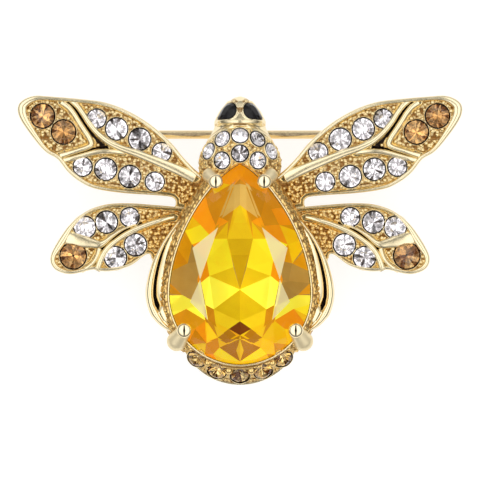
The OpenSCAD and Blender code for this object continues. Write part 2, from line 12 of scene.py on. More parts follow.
import bpy
import numpy as np
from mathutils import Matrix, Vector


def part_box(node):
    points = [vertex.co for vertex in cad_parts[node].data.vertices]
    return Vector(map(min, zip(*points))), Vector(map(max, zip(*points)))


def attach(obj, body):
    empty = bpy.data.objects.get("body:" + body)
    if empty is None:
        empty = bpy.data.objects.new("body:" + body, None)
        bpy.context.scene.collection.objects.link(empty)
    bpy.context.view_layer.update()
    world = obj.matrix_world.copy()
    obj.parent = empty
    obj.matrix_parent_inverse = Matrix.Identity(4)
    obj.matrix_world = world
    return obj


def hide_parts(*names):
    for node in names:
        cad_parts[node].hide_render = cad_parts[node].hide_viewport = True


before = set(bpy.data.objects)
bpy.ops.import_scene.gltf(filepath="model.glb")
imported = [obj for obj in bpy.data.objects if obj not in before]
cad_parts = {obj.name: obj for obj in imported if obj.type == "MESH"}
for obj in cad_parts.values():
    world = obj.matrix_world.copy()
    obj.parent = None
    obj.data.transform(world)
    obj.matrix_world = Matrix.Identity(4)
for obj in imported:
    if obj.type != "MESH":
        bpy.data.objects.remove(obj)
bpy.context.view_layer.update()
MM = 0.001

# %% [markdown]
# ## Sizes
# The middle of the brooch is a pear-shaped stone, so most places are counted from it: the tip of the
# pear, the centre of its round end and its girdle, the widest line all round. The stone's own box in
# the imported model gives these, and the few heights below are those of the casting.

# %% Places that the frame gives, and the casting's heights
def box_mm(node):
    """The lowest and highest corner of a node, in millimetres."""
    low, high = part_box(node)
    return np.array(low) / MM, np.array(high) / MM


GEM_LOW, GEM_HIGH = box_mm("centre_stone")
GEM_R = GEM_HIGH[0]
GEM_TIP_Y = GEM_HIGH[1]
GEM_Y = GEM_LOW[1] + GEM_R
GEM_RISE = GEM_TIP_Y - GEM_Y
PAVILION = 4.1
GIRDLE_Z = GEM_LOW[2] + PAVILION
GIRDLE_T = 0.2
CROWN = GEM_HIGH[2] - GIRDLE_Z
HALF_SPAN = box_mm("body_casting")[1][0]
WING_BACK_Z = 3.3
GROUND_Z = 4.45
STONE_PAVILION = 0.8
STONE_CROWN = 0.36
print("pear", round(2 * GEM_R, 2), "x", round(GEM_HIGH[1] - GEM_LOW[1], 2), "girdle at", round(GIRDLE_Z, 2))

# %% [markdown]
# ## Studio
# The brooch lies on its back on a white table, and the camera looks straight down on it from far
# enough away that it hardly shows perspective. Polished metal is only as good as what it reflects.
# So the sky is a wide white tent with a dark gap low down all round, and that gap draws the thin
# dark lines that jewellery photographs have along each rounded edge. Overhead the tent has a narrow
# dark slit from front to back, as between two long light boxes, which gives flat facets a contrast.

# %% Sums on a node's output
class Value:
    """A node's output that can be added, multiplied and so on, each time with a Math node."""

    def __init__(self, tree, socket):
        self.tree = tree
        self.socket = socket

    def sum(self, operation, first, second):
        """One Math node on two values or numbers."""
        return self.tree.add("Math", {"operation": operation}, {0: first, 1: second})["Value"]

    def __add__(self, other):
        return self.sum("ADD", self, other)

    def __radd__(self, other):
        return self.sum("ADD", other, self)

    def __sub__(self, other):
        return self.sum("SUBTRACT", self, other)

    def __rsub__(self, other):
        return self.sum("SUBTRACT", other, self)

    def __mul__(self, other):
        return self.sum("MULTIPLY", self, other)

    def __rmul__(self, other):
        return self.sum("MULTIPLY", other, self)

    def __lt__(self, other):
        return self.sum("LESS_THAN", self, other)


# %% One method that adds any node
class Step:
    """A node that was added, whose outputs are read by name or number."""

    def __init__(self, tree, node):
        self.tree = tree
        self.node = node

    def __getitem__(self, name):
        return Value(self.tree, self.node.outputs[name])


class Tree:
    """A node tree with one method that adds any node."""

    def __init__(self, owner):
        owner.use_nodes = True
        self.nodes = owner.node_tree.nodes
        self.links = owner.node_tree.links
        self.nodes.clear()

    def add(self, kind, settings, values):
        """Adds a node of a kind, makes its settings, and fills its sockets with values or links."""
        node = self.nodes.new("ShaderNode" + kind)
        for name, value in settings.items():
            if name == "stops":
                self.stops(node.color_ramp, value)
            else:
                setattr(node, name, value)
        for name, value in values.items():
            socket = node.inputs[name]
            if isinstance(value, Value):
                self.links.new(value.socket, socket)
            elif socket.type == "RGBA" and len(value) == 3:
                socket.default_value = (*value, 1.0)
            else:
                socket.default_value = value
        return Step(self, node)

    def stops(self, ramp, stops):
        """A colour ramp's stops, each a place and a colour or a grey."""
        while len(ramp.elements) < len(stops):
            ramp.elements.new(1.0)
        for element, (place, colour) in zip(ramp.elements, stops):
            element.position = place
            element.color = (*colour, 1.0) if hasattr(colour, "__len__") else (colour, colour, colour, 1.0)


# %% The white tent
# Each list holds a ramp's stops. TENT is the light from straight below, 0, to straight above, 1.
# BETWEEN_BOXES is the share of it left beside the slit, by the distance across, and BOX_ENDS is the
# share given back towards both ends of the slit.
TENT = [
    (0.00, 0.9), (0.50, 0.9), (0.505, 0.02), (0.55, 0.02), (0.60, 0.10), (0.68, 0.34), (0.78, 0.80),
    (0.86, 1.4), (1.00, 1.6)
]
BETWEEN_BOXES = [(0.00, 0.01), (0.075, 0.01), (0.095, 0.5), (0.13, 0.9), (0.18, 1.0), (1.00, 1.0)]
BOX_ENDS = [(0.00, 0.0), (0.70, 0.0), (0.85, 0.8), (1.00, 1.0)]
TENT_LEAN = 0.14
scene = bpy.context.scene
world = bpy.data.worlds.new("white_tent")
scene.world = world
sky = Tree(world)
direction = sky.add("TexCoord", {}, {})["Generated"]
parts = sky.add("SeparateXYZ", {}, {"Vector": direction})
lean = parts["Z"] + TENT_LEAN * parts["Y"]
glow = sky.add("ValToRGB", {"stops": TENT}, {"Fac": lean * 0.5 + 0.5})["Color"]
across = sky.add("Math", {"operation": "ABSOLUTE"}, {0: parts["X"]})["Value"]
along = sky.add("Math", {"operation": "ABSOLUTE"}, {0: parts["Y"]})["Value"]
between = sky.add("ValToRGB", {"stops": BETWEEN_BOXES}, {"Fac": across})["Color"]
ends = sky.add("ValToRGB", {"stops": BOX_ENDS}, {"Fac": along})["Color"]
lit = sky.add("Math", {"operation": "MAXIMUM"}, {0: between, 1: ends})["Value"]
lit = sky.add("Math", {"operation": "MAXIMUM"}, {0: lit, 1: parts["Z"] < 0})["Value"]
glow = sky.add("Mix", {"data_type": "RGBA"}, {0: lit, 6: (0.0, 0.0, 0.0), 7: glow})[2]
light = sky.add("Background", {}, {"Color": glow, "Strength": 1.0})["Background"]
sky.add("OutputWorld", {}, {"Surface": light})
scene.view_settings.view_transform = "Standard"
print("tent from", TENT[0][1], "below to", TENT[-1][1], "above")

# %% The camera, straight above
PHOTO_W = 480
PHOTO_MM_PER_PIXEL = 0.0905
CAMERA_Z = 600
FACE_Z = 5
SENSOR = 36
lens = bpy.data.cameras.new("camera")
lens.sensor_width = SENSOR
lens.sensor_fit = "HORIZONTAL"
lens.lens = SENSOR * (CAMERA_Z - FACE_Z) / (PHOTO_W * PHOTO_MM_PER_PIXEL)
camera = bpy.data.objects.new("camera", lens)
camera.location = (0, 0, CAMERA_Z * MM)
scene.collection.objects.link(camera)
scene.camera = camera
print("lens", round(lens.lens, 1), "mm")

# %% [markdown]
# ## Surfaces as arrays
# Every new piece is a closed surface worked out as whole arrays. A `Shell` is a block of points, the
# faces that join them by number, and the finish of each block of faces. One piece may hold several
# shells: a wing is a plate, a rim, veins and beads that were soldered or cast together.

# %% A shell
class Shell:
    """Points in millimetres, and blocks of faces as (rows of point numbers, material number, smooth)."""

    def __init__(self, points, blocks, deep=None):
        self.points = np.asarray(points, float).reshape(-1, 3)
        self.blocks = [(np.asarray(rows, int), slot, smooth) for rows, slot, smooth in blocks]
        self.deep = np.zeros(len(self.points)) if deep is None else np.asarray(deep, float).ravel()

    def volume(self):
        """Signed volume: each face is cut into a fan of triangles, and the tetrahedra to 0 are added."""
        total = 0.0
        for rows, slot, smooth in self.blocks:
            corner = self.points[rows]
            for i in range(1, rows.shape[1] - 1):
                total += np.einsum("ij,ij->", corner[:, 0], np.cross(corner[:, i], corner[:, i + 1])) / 6
        return total

    def outward(self):
        """The same shell with its faces turned outwards."""
        if self.volume() < 0:
            self.blocks = [(rows[:, ::-1], slot, smooth) for rows, slot, smooth in self.blocks]
        return self

    def mirrored(self):
        """The shell on the other side of the brooch: X changes sign."""
        return Shell(self.points * [-1, 1, 1], self.blocks, self.deep).outward()

    def next_finish(self):
        """The same shell with every material number one higher."""
        self.blocks = [(rows, slot + 1, smooth) for rows, slot, smooth in self.blocks]
        return self


# %% Shells put into Blender as one mesh
def put_down(name, shells, materials, body="brooch"):
    """Joins shells into one mesh object in metres, whose deep attribute, the share of painted shade in
    the gold, is 1 in hollows and 0 on tops.
    """
    points = np.vstack([s.points for s in shells])
    deep = np.concatenate([s.deep for s in shells])
    first = np.cumsum([0] + [len(s.points) for s in shells])
    rows = [(r + first[i], slot, smooth) for i, s in enumerate(shells) for r, slot, smooth in s.blocks]
    corners = np.concatenate([r.ravel() for r, slot, smooth in rows])
    sizes = np.concatenate([np.full(len(r), r.shape[1]) for r, slot, smooth in rows])
    mesh = bpy.data.meshes.new(name)
    mesh.vertices.add(len(points))
    mesh.vertices.foreach_set("co", (points * MM).ravel().astype(np.float32))
    mesh.loops.add(len(corners))
    mesh.loops.foreach_set("vertex_index", corners.astype(np.int32))
    mesh.polygons.add(len(sizes))
    mesh.polygons.foreach_set("loop_start", np.concatenate([[0], np.cumsum(sizes)[:-1]]).astype(np.int32))
    mesh.polygons.foreach_set("material_index", np.concatenate([np.full(len(r), s) for r, s, m in rows]))
    mesh.polygons.foreach_set("use_smooth", np.concatenate([np.full(len(r), m) for r, s, m in rows]))
    mesh.update(calc_edges=True)
    mesh.validate()
    mesh.attributes.new("deep", "FLOAT", "POINT").data.foreach_set("value", deep.astype(np.float32))
    for material in materials:
        mesh.materials.append(material)
    piece = bpy.data.objects.new(name, mesh)
    scene.collection.objects.link(piece)
    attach(piece, body)
    print(name, "triangles:", int((sizes - 2).sum()))
    return piece


# %% A value for each face
def lay_on(piece, name, kind, values):
    """A value for each face, laid on all the corners of the face."""
    mesh = piece.data
    sizes = np.zeros(len(mesh.polygons), int)
    mesh.polygons.foreach_get("loop_total", sizes)
    assert len(values) == len(sizes)
    if kind == "FLOAT_COLOR":
        values = np.column_stack([values, np.ones(len(values))])
    field = "color" if kind == "FLOAT_COLOR" else "value"
    spread = np.repeat(np.asarray(values, np.float32), sizes, axis=0)
    mesh.attributes.new(name, kind, "CORNER").data.foreach_set(field, spread.ravel())


# %% Grids and lofts
def grid_rows(rows, columns, wrap=False, first=0):
    """The quads of a grid of points numbered row by row; wrap joins the last column to the first."""
    i = np.arange(rows - 1)[:, None] * columns
    j = np.arange(columns if wrap else columns - 1)[None, :]
    k = (j + 1) % columns
    return (np.stack([i + j, i + k, i + k + columns, i + j + columns], -1).reshape(-1, 4)) + first


def loft(sections, closed=False, slots=None, smooth_ends=False, deep=None):
    """Joins sections of equal length, an array of (sections, points, 3), into a closed shell.

    A closed loft runs back into its first section; any other is capped by its end sections. slots
    gives the material of each strip along the loft, that is of each side of a section."""
    count, sides = sections.shape[:2]
    if closed:
        sections = np.concatenate([sections, sections[:1]])
        rows = grid_rows(count + 1, sides, wrap=True) % (count * sides)
        sections = sections[:-1]
    else:
        rows = grid_rows(count, sides, wrap=True)
    strip = np.tile(np.arange(sides), len(rows) // sides)
    slots = np.zeros(sides, int) if slots is None else np.asarray(slots)
    blocks = [(rows[slots[strip] == s], s, True) for s in np.unique(slots)]
    if not closed:
        ends = np.arange(sides)[None, :]
        blocks += [(ends[:, ::-1], 0, smooth_ends), (ends + (count - 1) * sides, 0, smooth_ends)]
    return Shell(sections, blocks, deep).outward()


# %% Smooth lines, and ribbons along them
def through(knots, steps, closed=False):
    """A Catmull-Rom curve: between knots b and c it is 0.5 (2b + (c - a) t + (2a - 5b + 4c - d) t^2
    + (3b - a - 3c + d) t^3), where a and d are the knots on either side."""
    p = np.asarray(knots, float)
    if closed:
        a, b, c, d = np.roll(p, 1, 0), p, np.roll(p, -1, 0), np.roll(p, -2, 0)
    else:
        padded = np.vstack([p[:1], p, p[-1:]])
        a, b, c, d = padded[:-3], padded[1:-2], padded[2:-1], padded[3:]
    a, b, c, d = (k[:, None, :] for k in (a, b, c, d))
    t = (np.arange(steps) / steps)[None, :, None]
    line = 0.5 * (2 * b + (c - a) * t + (2 * a - 5 * b + 4 * c - d) * t**2 + (3 * b - a - 3 * c + d) * t**3)
    line = line.reshape(-1, p.shape[1])
    return line if closed else np.vstack([line, p[-1:]])


def evenly(line, count):
    """The same line with a number of points at equal distances along it."""
    gaps = np.linalg.norm(np.diff(line[:, :2], axis=0), axis=1)
    along = np.concatenate([[0], np.cumsum(gaps)])
    where = np.linspace(0, along[-1], count)
    return np.stack([np.interp(where, along, line[:, k]) for k in range(line.shape[1])], -1)


def unit(v):
    """Each vector divided by its length."""
    return v / np.maximum(np.linalg.norm(v, axis=-1, keepdims=True), 1e-12)


def rightwards(line, closed=False):
    """The direction square to a flat line at each of its points, to the right of its travel."""
    if closed:
        way = np.roll(line, -1, 0)[:, :2] - np.roll(line, 1, 0)[:, :2]
    else:
        way = np.gradient(line[:, :2], axis=0)
    way = unit(way)
    return np.stack([way[:, 1], -way[:, 0]], -1)


def ribbon(line, section):
    """Carries a section along a flat line. section is (points of the line, points of the section, 2):
    how far each lies to the right of the line, and its height."""
    side = rightwards(line)
    flat = line[:, None, :2] + section[:, :, :1] * side[:, None, :]
    return loft(np.concatenate([flat, section[:, :, 1:]], -1))


# %% The pear's outline
def pear_at(a):
    """The pear's outline: a half circle below, and above it a cosine and sine raised to powers."""
    a = np.radians(np.asarray(a, float))
    c = np.clip(np.cos(a), 0, None)
    s = np.clip(np.sin(a), 0, None)
    x = np.where(a < 0, GEM_R * np.cos(a), GEM_R * c**1.54)
    y = np.where(a < 0, GEM_R * np.sin(a), GEM_RISE * s**1.11)
    return np.stack([x, GEM_Y + y], -1)


def beside_pear(a, out):
    """A point outside the pear's edge, square to it. Angles past 90 run down the left side."""
    a = np.asarray(a, float)
    right = a.copy()
    right[a > 90] = 180 - a[a > 90]
    way = pear_at(np.minimum(right + 0.5, 90)) - pear_at(np.maximum(right - 0.5, -90))
    normal = unit(np.stack([way[:, 1], -way[:, 0]], -1))
    point = pear_at(right) + np.asarray(out)[..., None] * normal
    point[a > 90, 0] *= -1
    return point


def pear_ring(count, share=None, out=0.0, z=0.0):
    """A ring of the pear's form at a height: scaled about the pear's centre, or moved outwards."""
    a = -90 + 360 * np.arange(count) / count
    if share is None:
        flat = beside_pear(a, np.full(count, out))
    else:
        flat = (beside_pear(a, np.zeros(count)) - [0, GEM_Y]) * share + [0, GEM_Y]
    return np.column_stack([flat, np.full(count, z)])


steps = np.diff(pear_ring(720)[:, :2], axis=0)
print("round the pear: about", round(float(np.linalg.norm(steps, axis=1).sum()), 1), "mm")

# %% [markdown]
# ## Graining
# The sunk grounds between the stones are covered with small grains of gold, as if by granulation.
# A noise texture could fake that with bump alone, but grains catch light and throw shade on each
# other, so they are real relief: a jittered lattice of round bumps, each point taking the highest.

# %% Grains as a height over the plane
def scatter(i, j, seed):
    """Two numbers from 0 to 1 for each cell of a lattice, the same each time: the broken part of a sine."""
    a = np.sin(i * 127.1 + j * 311.7 + seed * 74.7) * 43758.5453
    b = np.sin(i * 269.5 + j * 183.3 + seed * 19.3) * 24634.6345
    return a - np.floor(a), b - np.floor(b)


def grains(x, y, pitch, seed):
    """Height from 0 to 1 of round grains about pitch apart: sqrt(1 - d^2) for the nearest centre's
    distance d in grain radii, taken over the nine cells of the lattice around each point."""
    u = x / pitch
    v = y / pitch
    i = np.floor(u)
    j = np.floor(v)
    best = np.zeros_like(u)
    for di in (-1, 0, 1):
        for dj in (-1, 0, 1):
            a, b = scatter(i + di, j + dj, seed)
            size, other = scatter(i + di + 57, j + dj + 13, seed)
            radius = 0.42 + 0.26 * size
            d2 = ((i + di + 0.15 + 0.7 * a - u) ** 2 + (j + dj + 0.15 + 0.7 * b - v) ** 2) / radius**2
            best = np.maximum(best, (0.55 + 0.45 * other) * np.sqrt(np.clip(1 - d2, 0, 1)))
    return best


def two_grains(x, y, pitches, seeds, shares=(0.75, 0.25)):
    """Coarse grains with fine ones over them: the sum of each kind's height times its share."""
    coarse, fine = (grains(x, y, pitch, seed) for pitch, seed in zip(pitches, seeds))
    return shares[0] * coarse + shares[1] * fine


def ease(x, low, high):
    """0 below low, 1 above high, and a smooth step between."""
    t = np.clip((x - low) / (high - low), 0, 1)
    return t * t * (3 - 2 * t)


# %% [markdown]
# ## Metals
# The plate is a pale champagne gold. On the polished rims it is close to a mirror, softened by fine
# polishing marks and by the slight waviness of a casting. On the grounds the same plate is rougher,
# and the hollows between the grains are rougher still, as the plating bath leaves them dull, and are
# painted browner: a painted shade for the light there that has bounced off gold twice. Round the big
# stone the grounds also carry a painted reflection of its orange.
#
# A noise reads the piece's own coordinates, which are metres, so its scale counts patches in a metre.

# %% A material with its own tree
def new_finish(name):
    """A new material, and its cleared node tree to build in."""
    material = bpy.data.materials.new(name)
    return material, Tree(material)


def blend_colours(tree, share, first, second):
    """The first colour where share is 0 and the second where it is 1."""
    mix = tree.add("Mix", {"data_type": "RGBA"}, {0: share, 6: first, 7: second})
    return mix[2]


def noise(tree, per_metre, detail):
    """Soft patches from 0 to 1 that stay with the piece, so many to the metre."""
    place = tree.add("TexCoord", {}, {})["Object"]
    return tree.add("TexNoise", {}, {"Vector": place, "Scale": per_metre, "Detail": detail})["Fac"]


def finish_with(tree, shader):
    """Puts a shader on the material's output."""
    tree.add("OutputMaterial", {}, {"Surface": shader})


def one_shader(tree, values):
    """A material of one Principled shader, with these values on its sockets."""
    finish_with(tree, tree.add("BsdfPrincipled", {}, values)["BSDF"])


# %% Polished and grained gold
PATCHES_A_METRE = 420.0
MARKS_A_METRE = 2600.0
# A painted reflection of the big stone's orange on the grounds: a middle, reach and fade in metres, and a
# tint.
STONE_REFLECTION_MIDDLE = (0.0, -0.003, 0.006)
WARM_REACH = 0.0125
STONE_REFLECTION_FADE = 0.004
STONE_REFLECTION_TINT = (0.93, 0.60, 0.18)


def gilt(name, bright, shade, hollow, roughness, wave, grain, marked=0.12, stone_reflection=0.0):
    """Gold plate: two close shades in soft patches, with a painted shade, browner, in the hollows, and
    wavy and fine relief, wave and grain millimetres deep. Its roughness is a base, plus marked times
    the fine marks, plus 0.3 in hollows. stone_reflection is how far it takes a painted reflection of
    the stone's orange: all of it up to WARM_REACH less STONE_REFLECTION_FADE from a point
    under the stone, and evenly less from there to nothing at WARM_REACH."""
    material, tree = new_finish(name)
    patches = noise(tree, PATCHES_A_METRE, 2.0)
    marks = noise(tree, MARKS_A_METRE, 4.0)
    deep = tree.add("Attribute", {"attribute_name": "deep"}, {})["Fac"]
    plate = blend_colours(tree, patches, bright, shade)
    # Painted reflection of the big stone's orange on the gold near it.
    if stone_reflection:
        place = tree.add("TexCoord", {}, {})["Object"]
        reach = tree.add("VectorMath", {"operation": "DISTANCE"}, {0: place, 1: STONE_REFLECTION_MIDDLE})["Value"]
        near = tree.add("Clamp", {}, {"Value": (WARM_REACH - reach) * (1 / STONE_REFLECTION_FADE)})["Result"]
        plate = blend_colours(tree, near * stone_reflection, plate, STONE_REFLECTION_TINT)
    # Painted shade: the deep attribute blends the hollows towards the hollow colour.
    colour = blend_colours(tree, deep, plate, hollow)
    swell = tree.add("Bump", {}, {"Height": patches, "Distance": wave * MM, "Strength": 1.0})["Normal"]
    fine = tree.add("Bump", {}, {
        "Height": marks, "Distance": grain * MM, "Strength": 1.0, "Normal": swell
    })["Normal"]
    one_shader(tree, {
        "Base Color": colour, "Metallic": 1.0, "Roughness": roughness + marked * marks + 0.3 * deep,
        "Normal": fine
    })
    return material


# %% The metals of this brooch
# Each list holds the bright shade, the other shade and the painted shade colour of the hollows. After
# it come the roughness and how deep the waves and the fine marks are, in millimetres.
POLISHED = [(0.94, 0.81, 0.54), (0.91, 0.77, 0.48), (0.34, 0.18, 0.05)]
GRAINED = [(0.94, 0.78, 0.45), (0.91, 0.69, 0.32), (0.29, 0.13, 0.03)]
PLAIN = [(0.86, 0.70, 0.42), (0.80, 0.63, 0.35), (0.30, 0.15, 0.04)]
WIRE = [(0.95, 0.78, 0.50), (0.92, 0.70, 0.40), (0.34, 0.18, 0.05)]
polished_gold = gilt("polished_gold", *POLISHED, 0.17, 0.006, 0.0004)
mirror_gold = gilt("mirror_gold", *POLISHED, 0.01, 0.006, 0.0001, marked=0.03)
satin_gold = gilt("satin_gold", *POLISHED, 0.44, 0.004, 0.0004)
grained_gold = gilt("grained_gold", *GRAINED, 0.10, 0.010, 0.002, stone_reflection=0.7)
plain_gold = gilt("plain_gold", *PLAIN, 0.14, 0.006, 0.0015)
wire_gold = gilt("wire_gold", *WIRE, 0.15, 0.003, 0.0002)
print("metals:", len(bpy.data.materials))

# %% [markdown]
# ## Crystals
# A cut crystal with a foil back works as a lens over a mirror. Light goes in through the clear crown,
# is turned back by the mirrored pavilion, and comes out again. So each stone is one closed solid with
# two finishes: the crown is clear glass, and the facets below the girdle are a bright tinted metal
# seen from inside, whose facets carry painted reflections. That costs little, and the flashes move
# when the view moves.

# %% Glass and foil
def glass(name, tint, ior):
    """Clear polished glass with a tint."""
    material, tree = new_finish(name)
    one_shader(tree, {"Base Color": tint, "Transmission Weight": 1.0, "IOR": ior, "Roughness": 0.0})
    return material


FOIL_GLOW = 0.24


def foil(name, tint, shade, dark, roughness):
    """A mirrored back. Each facet has a chance of its own from 0, a dark painted reflection, to 1,
    bright, and a little light of its own, which stands for the bounces between facets that would take
    long to render."""
    material, tree = new_finish(name)
    clouds = noise(tree, 1500.0, 2.0)
    chance = tree.add("Attribute", {"attribute_name": "chance"}, {})["Fac"]
    colour = blend_colours(tree, chance, dark, blend_colours(tree, clouds, tint, shade))
    one_shader(tree, {
        "Base Color": colour, "Metallic": 1.0, "Roughness": roughness,
        "Emission Color": colour, "Emission Strength": FOIL_GLOW
    })
    return material


clear_glass = glass("clear_glass", (1.0, 1.0, 1.0), 1.56)
clear_foil = foil("clear_foil", (0.96, 0.94, 0.95), (0.88, 0.85, 0.87), (0.10, 0.085, 0.08), 0.05)
topaz_glass = glass("topaz_glass", (1.0, 0.92, 0.78), 1.5)
topaz_foil = foil("topaz_foil", (1.0, 0.84, 0.56), (0.84, 0.55, 0.26), (0.15, 0.055, 0.012), 0.12)


def painted_shade_wall():
    """Painted shade: near black for the shaded gap round a stone and in grooves, mottled where glue and
    tarnish lie on the wall of a pocket.
    """
    material, tree = new_finish("painted_shade_wall")
    colour = blend_colours(tree, noise(tree, 3000.0, 2.0), (0.012, 0.008, 0.006), (0.05, 0.025, 0.01))
    one_shader(tree, {"Base Color": colour, "Metallic": 0.6, "Roughness": 0.5})
    return material


pocket_painted_shade = painted_shade_wall()

# %% [markdown]
# ## Small round stones
# The small stones are round brilliants. Each ring of corners follows from three radii and three
# heights, and the kite facets come out flat when the ring between table and girdle lies on the line
# from a table corner to the girdle. Every stone gets a turn and a slight tilt of its own, as stones
# set by hand have, so that no two flash alike.

# %% The cut of a round brilliant
def ring(n, radius, z, turn=0.0):
    """So many corners evenly round a circle at a height, the first at a turn in degrees."""
    a = np.radians(turn + 360 * np.arange(n) / n)
    return np.stack([radius * np.cos(a), radius * np.sin(a), np.full(n, z)], -1)


def brilliant():
    """A stone of radius 1 with its girdle at height 0: table, 8 stars, 8 kites, 16 halves, girdle, 16
    lower halves, 8 mains."""
    table_r = 0.56
    mid_r = 0.80
    low_r = 0.32
    edge = 0.03
    cos = math.cos(math.radians(22.5))
    mid_z = STONE_CROWN * (1 - mid_r * cos) / (1 - table_r)
    low_z = -STONE_PAVILION * (1 - low_r * cos)
    points = np.vstack([
        ring(8, table_r, STONE_CROWN), ring(8, mid_r, mid_z, 22.5), ring(16, 1, edge), ring(16, 1, -edge),
        ring(8, low_r, low_z, 22.5), [[0, 0, -STONE_PAVILION]]
    ])
    i = np.arange(8)
    j = np.arange(16)
    mid = 8 + i
    before = 8 + (i + 7) % 8
    top = 16 + 2 * i
    half = 17 + 2 * i
    after = 16 + (2 * i + 2) % 16
    low = 48 + i
    culet = np.full(8, 56)
    return points, [
        (i[None, :], 0, False),
        (np.stack([i, mid, (i + 1) % 8], -1), 0, False),
        (np.stack([i, before, top, mid], -1), 0, False),
        (np.stack([mid, top, half], -1), 0, False),
        (np.stack([mid, half, after], -1), 0, False),
        (np.stack([16 + j, 32 + j, 32 + (j + 1) % 16, 16 + (j + 1) % 16], -1), 1, False),
        (np.stack([low, half + 16, top + 16], -1), 1, False),
        (np.stack([low, after + 16, half + 16], -1), 1, False),
        (np.stack([culet, low, top + 16, 48 + (i + 7) % 8], -1), 1, False)
    ]


CUT_POINTS, CUT_BLOCKS = brilliant()
print("facets of a small stone:", sum(len(rows) for rows, slot, flat in CUT_BLOCKS))


# %% A stone in its place
def upright(way):
    """The turn that stands Z along a direction, as three columns; X leans as little as it can."""
    n = unit(np.asarray(way, float))
    u = unit(np.cross([0, 1, 0], n))
    return np.stack([u, np.cross(n, u), n], -1)


def small_stone(place, radius, way, luck):
    """One brilliant at a place, its table facing a direction, turned and tilted by chance."""
    turn = luck.uniform(0, 2 * math.pi)
    lean = luck.normal(0, 0.05, 2)
    c, s = math.cos(turn), math.sin(turn)
    spin = np.array([[c, -s, 0], [s, c, 0], [0, 0, 1]])
    tilt = upright(np.asarray(way) + np.array([lean[0], lean[1], 0]))
    return Shell((CUT_POINTS * radius) @ spin.T @ tilt.T + place, CUT_BLOCKS).outward()


def paint_facet_reflections(piece, luck, levels, shares):
    """A number for each facet of some brilliants, drawn from a few levels: the foil reads it as a painted
    reflection, dark or bright. put_down keeps the order of the blocks, so the faces come stone by
    stone."""
    count = len(piece.data.polygons)
    lay_on(piece, "chance", "FLOAT", luck.choice(levels, count, p=shares))


# Levels of each facet's painted reflection, from bright to dark, and the share of each, for clear and for
# brown stones.
CLEAR_FACET_REFLECTIONS = [[1.0, 0.75, 0.35, 0.0], [0.55, 0.25, 0.11, 0.09]]
TOPAZ_FACET_REFLECTIONS = [[1.0, 0.6, 0.35, 0.05], [0.30, 0.28, 0.22, 0.20]]

# %% [markdown]
# ## Collars and beads
# Round each stone runs a collar of metal, with painted shade on the wall inside it. It is a ring: a
# small rounded section carried round a circle, standing square to the stone's own direction. The free
# ground also carries round beads, which are repeated many times, so each has only a few dozen faces.

# %% A collar
COLLAR_GAP = 0.11
COLLAR_W = 0.07
COLLAR_TOP = 0.02


def collar(place, radius, way, depth=0.5):
    """A ring round a stone: inner wall, rounded top and outer wall. Heights are from the girdle."""
    inner = radius + COLLAR_GAP
    shape = np.array([
        [inner, -depth], [inner, COLLAR_TOP - 0.05], [inner + 0.25 * COLLAR_W, COLLAR_TOP],
        [inner + 0.6 * COLLAR_W, COLLAR_TOP], [inner + COLLAR_W, COLLAR_TOP - 0.07],
        [inner + COLLAR_W + 0.05, -depth]
    ])
    a = 2 * np.pi * np.arange(40) / 40
    flat = np.stack([np.cos(a), np.sin(a)], -1)
    sections = np.concatenate([
        shape[None, :, :1] * flat[:, None, :], np.repeat(shape[None, :, 1:], len(a), 0)
    ], -1)
    turned = sections @ upright(way).T + place
    # The inner wall and the underside take slot 1, which next_finish makes the painted shade of a pocket.
    return loft(turned, closed=True, slots=[1, 0, 0, 0, 0, 1])


# %% Beads
BEAD_CUT = 0.72


def beads(places, radii, sides=9, rings=4):
    """Round grains as one shell of many. Each is a sphere cut off low, at BEAD_CUT of the way from its
    top to its foot: x = r sin(t) cos(p), y = r sin(t) sin(p), z = r cos(t)."""
    t = np.linspace(0, BEAD_CUT * np.pi, rings + 1)[1:, None]
    p = 2 * np.pi * np.arange(sides) / sides
    r = np.sin(t)
    round_part = np.stack([r * np.cos(p), r * np.sin(p), np.repeat(np.cos(t), sides, 1)], -1)
    unit_points = np.vstack([[0, 0, 1], round_part.reshape(-1, 3)])
    n = len(unit_points)
    points = np.asarray(places)[:, None, :] + np.asarray(radii)[:, None, None] * unit_points
    fan = np.stack([np.zeros(sides, int), 1 + np.arange(sides), 1 + (np.arange(sides) + 1) % sides], -1)
    quads = grid_rows(rings, sides, wrap=True, first=1)
    base = 1 + (rings - 1) * sides + np.arange(sides)[None, ::-1]
    first = (np.arange(len(points)) * n)[:, None, None]
    blocks = [
        ((rows[None] + first).reshape(-1, rows.shape[1]), 0, True) for rows in (fan, quads[:, ::-1], base)
    ]
    # deep paints each bead darker towards its foot: painted shade.
    deep = np.tile(np.clip(0.5 * (1 - unit_points[:, 2]), 0, 1), len(points))
    return Shell(points, blocks, deep).outward()


# %% [markdown]
# ## Wings
# Each wing is a thin casting: a flat ground between a polished rim and polished veins, with stones
# set into the ground and dark grooves between some veins. Outline, veins and grooves are smooth curves
# through a few knots, given as shares of the wing's reach and height, so a wing can be stretched
# without losing its form. The rim and veins are rounded sections carried along those curves, which
# keeps their highlights clean. The ground is a grid from the leading edge to the trailing edge, raised
# by the grains.

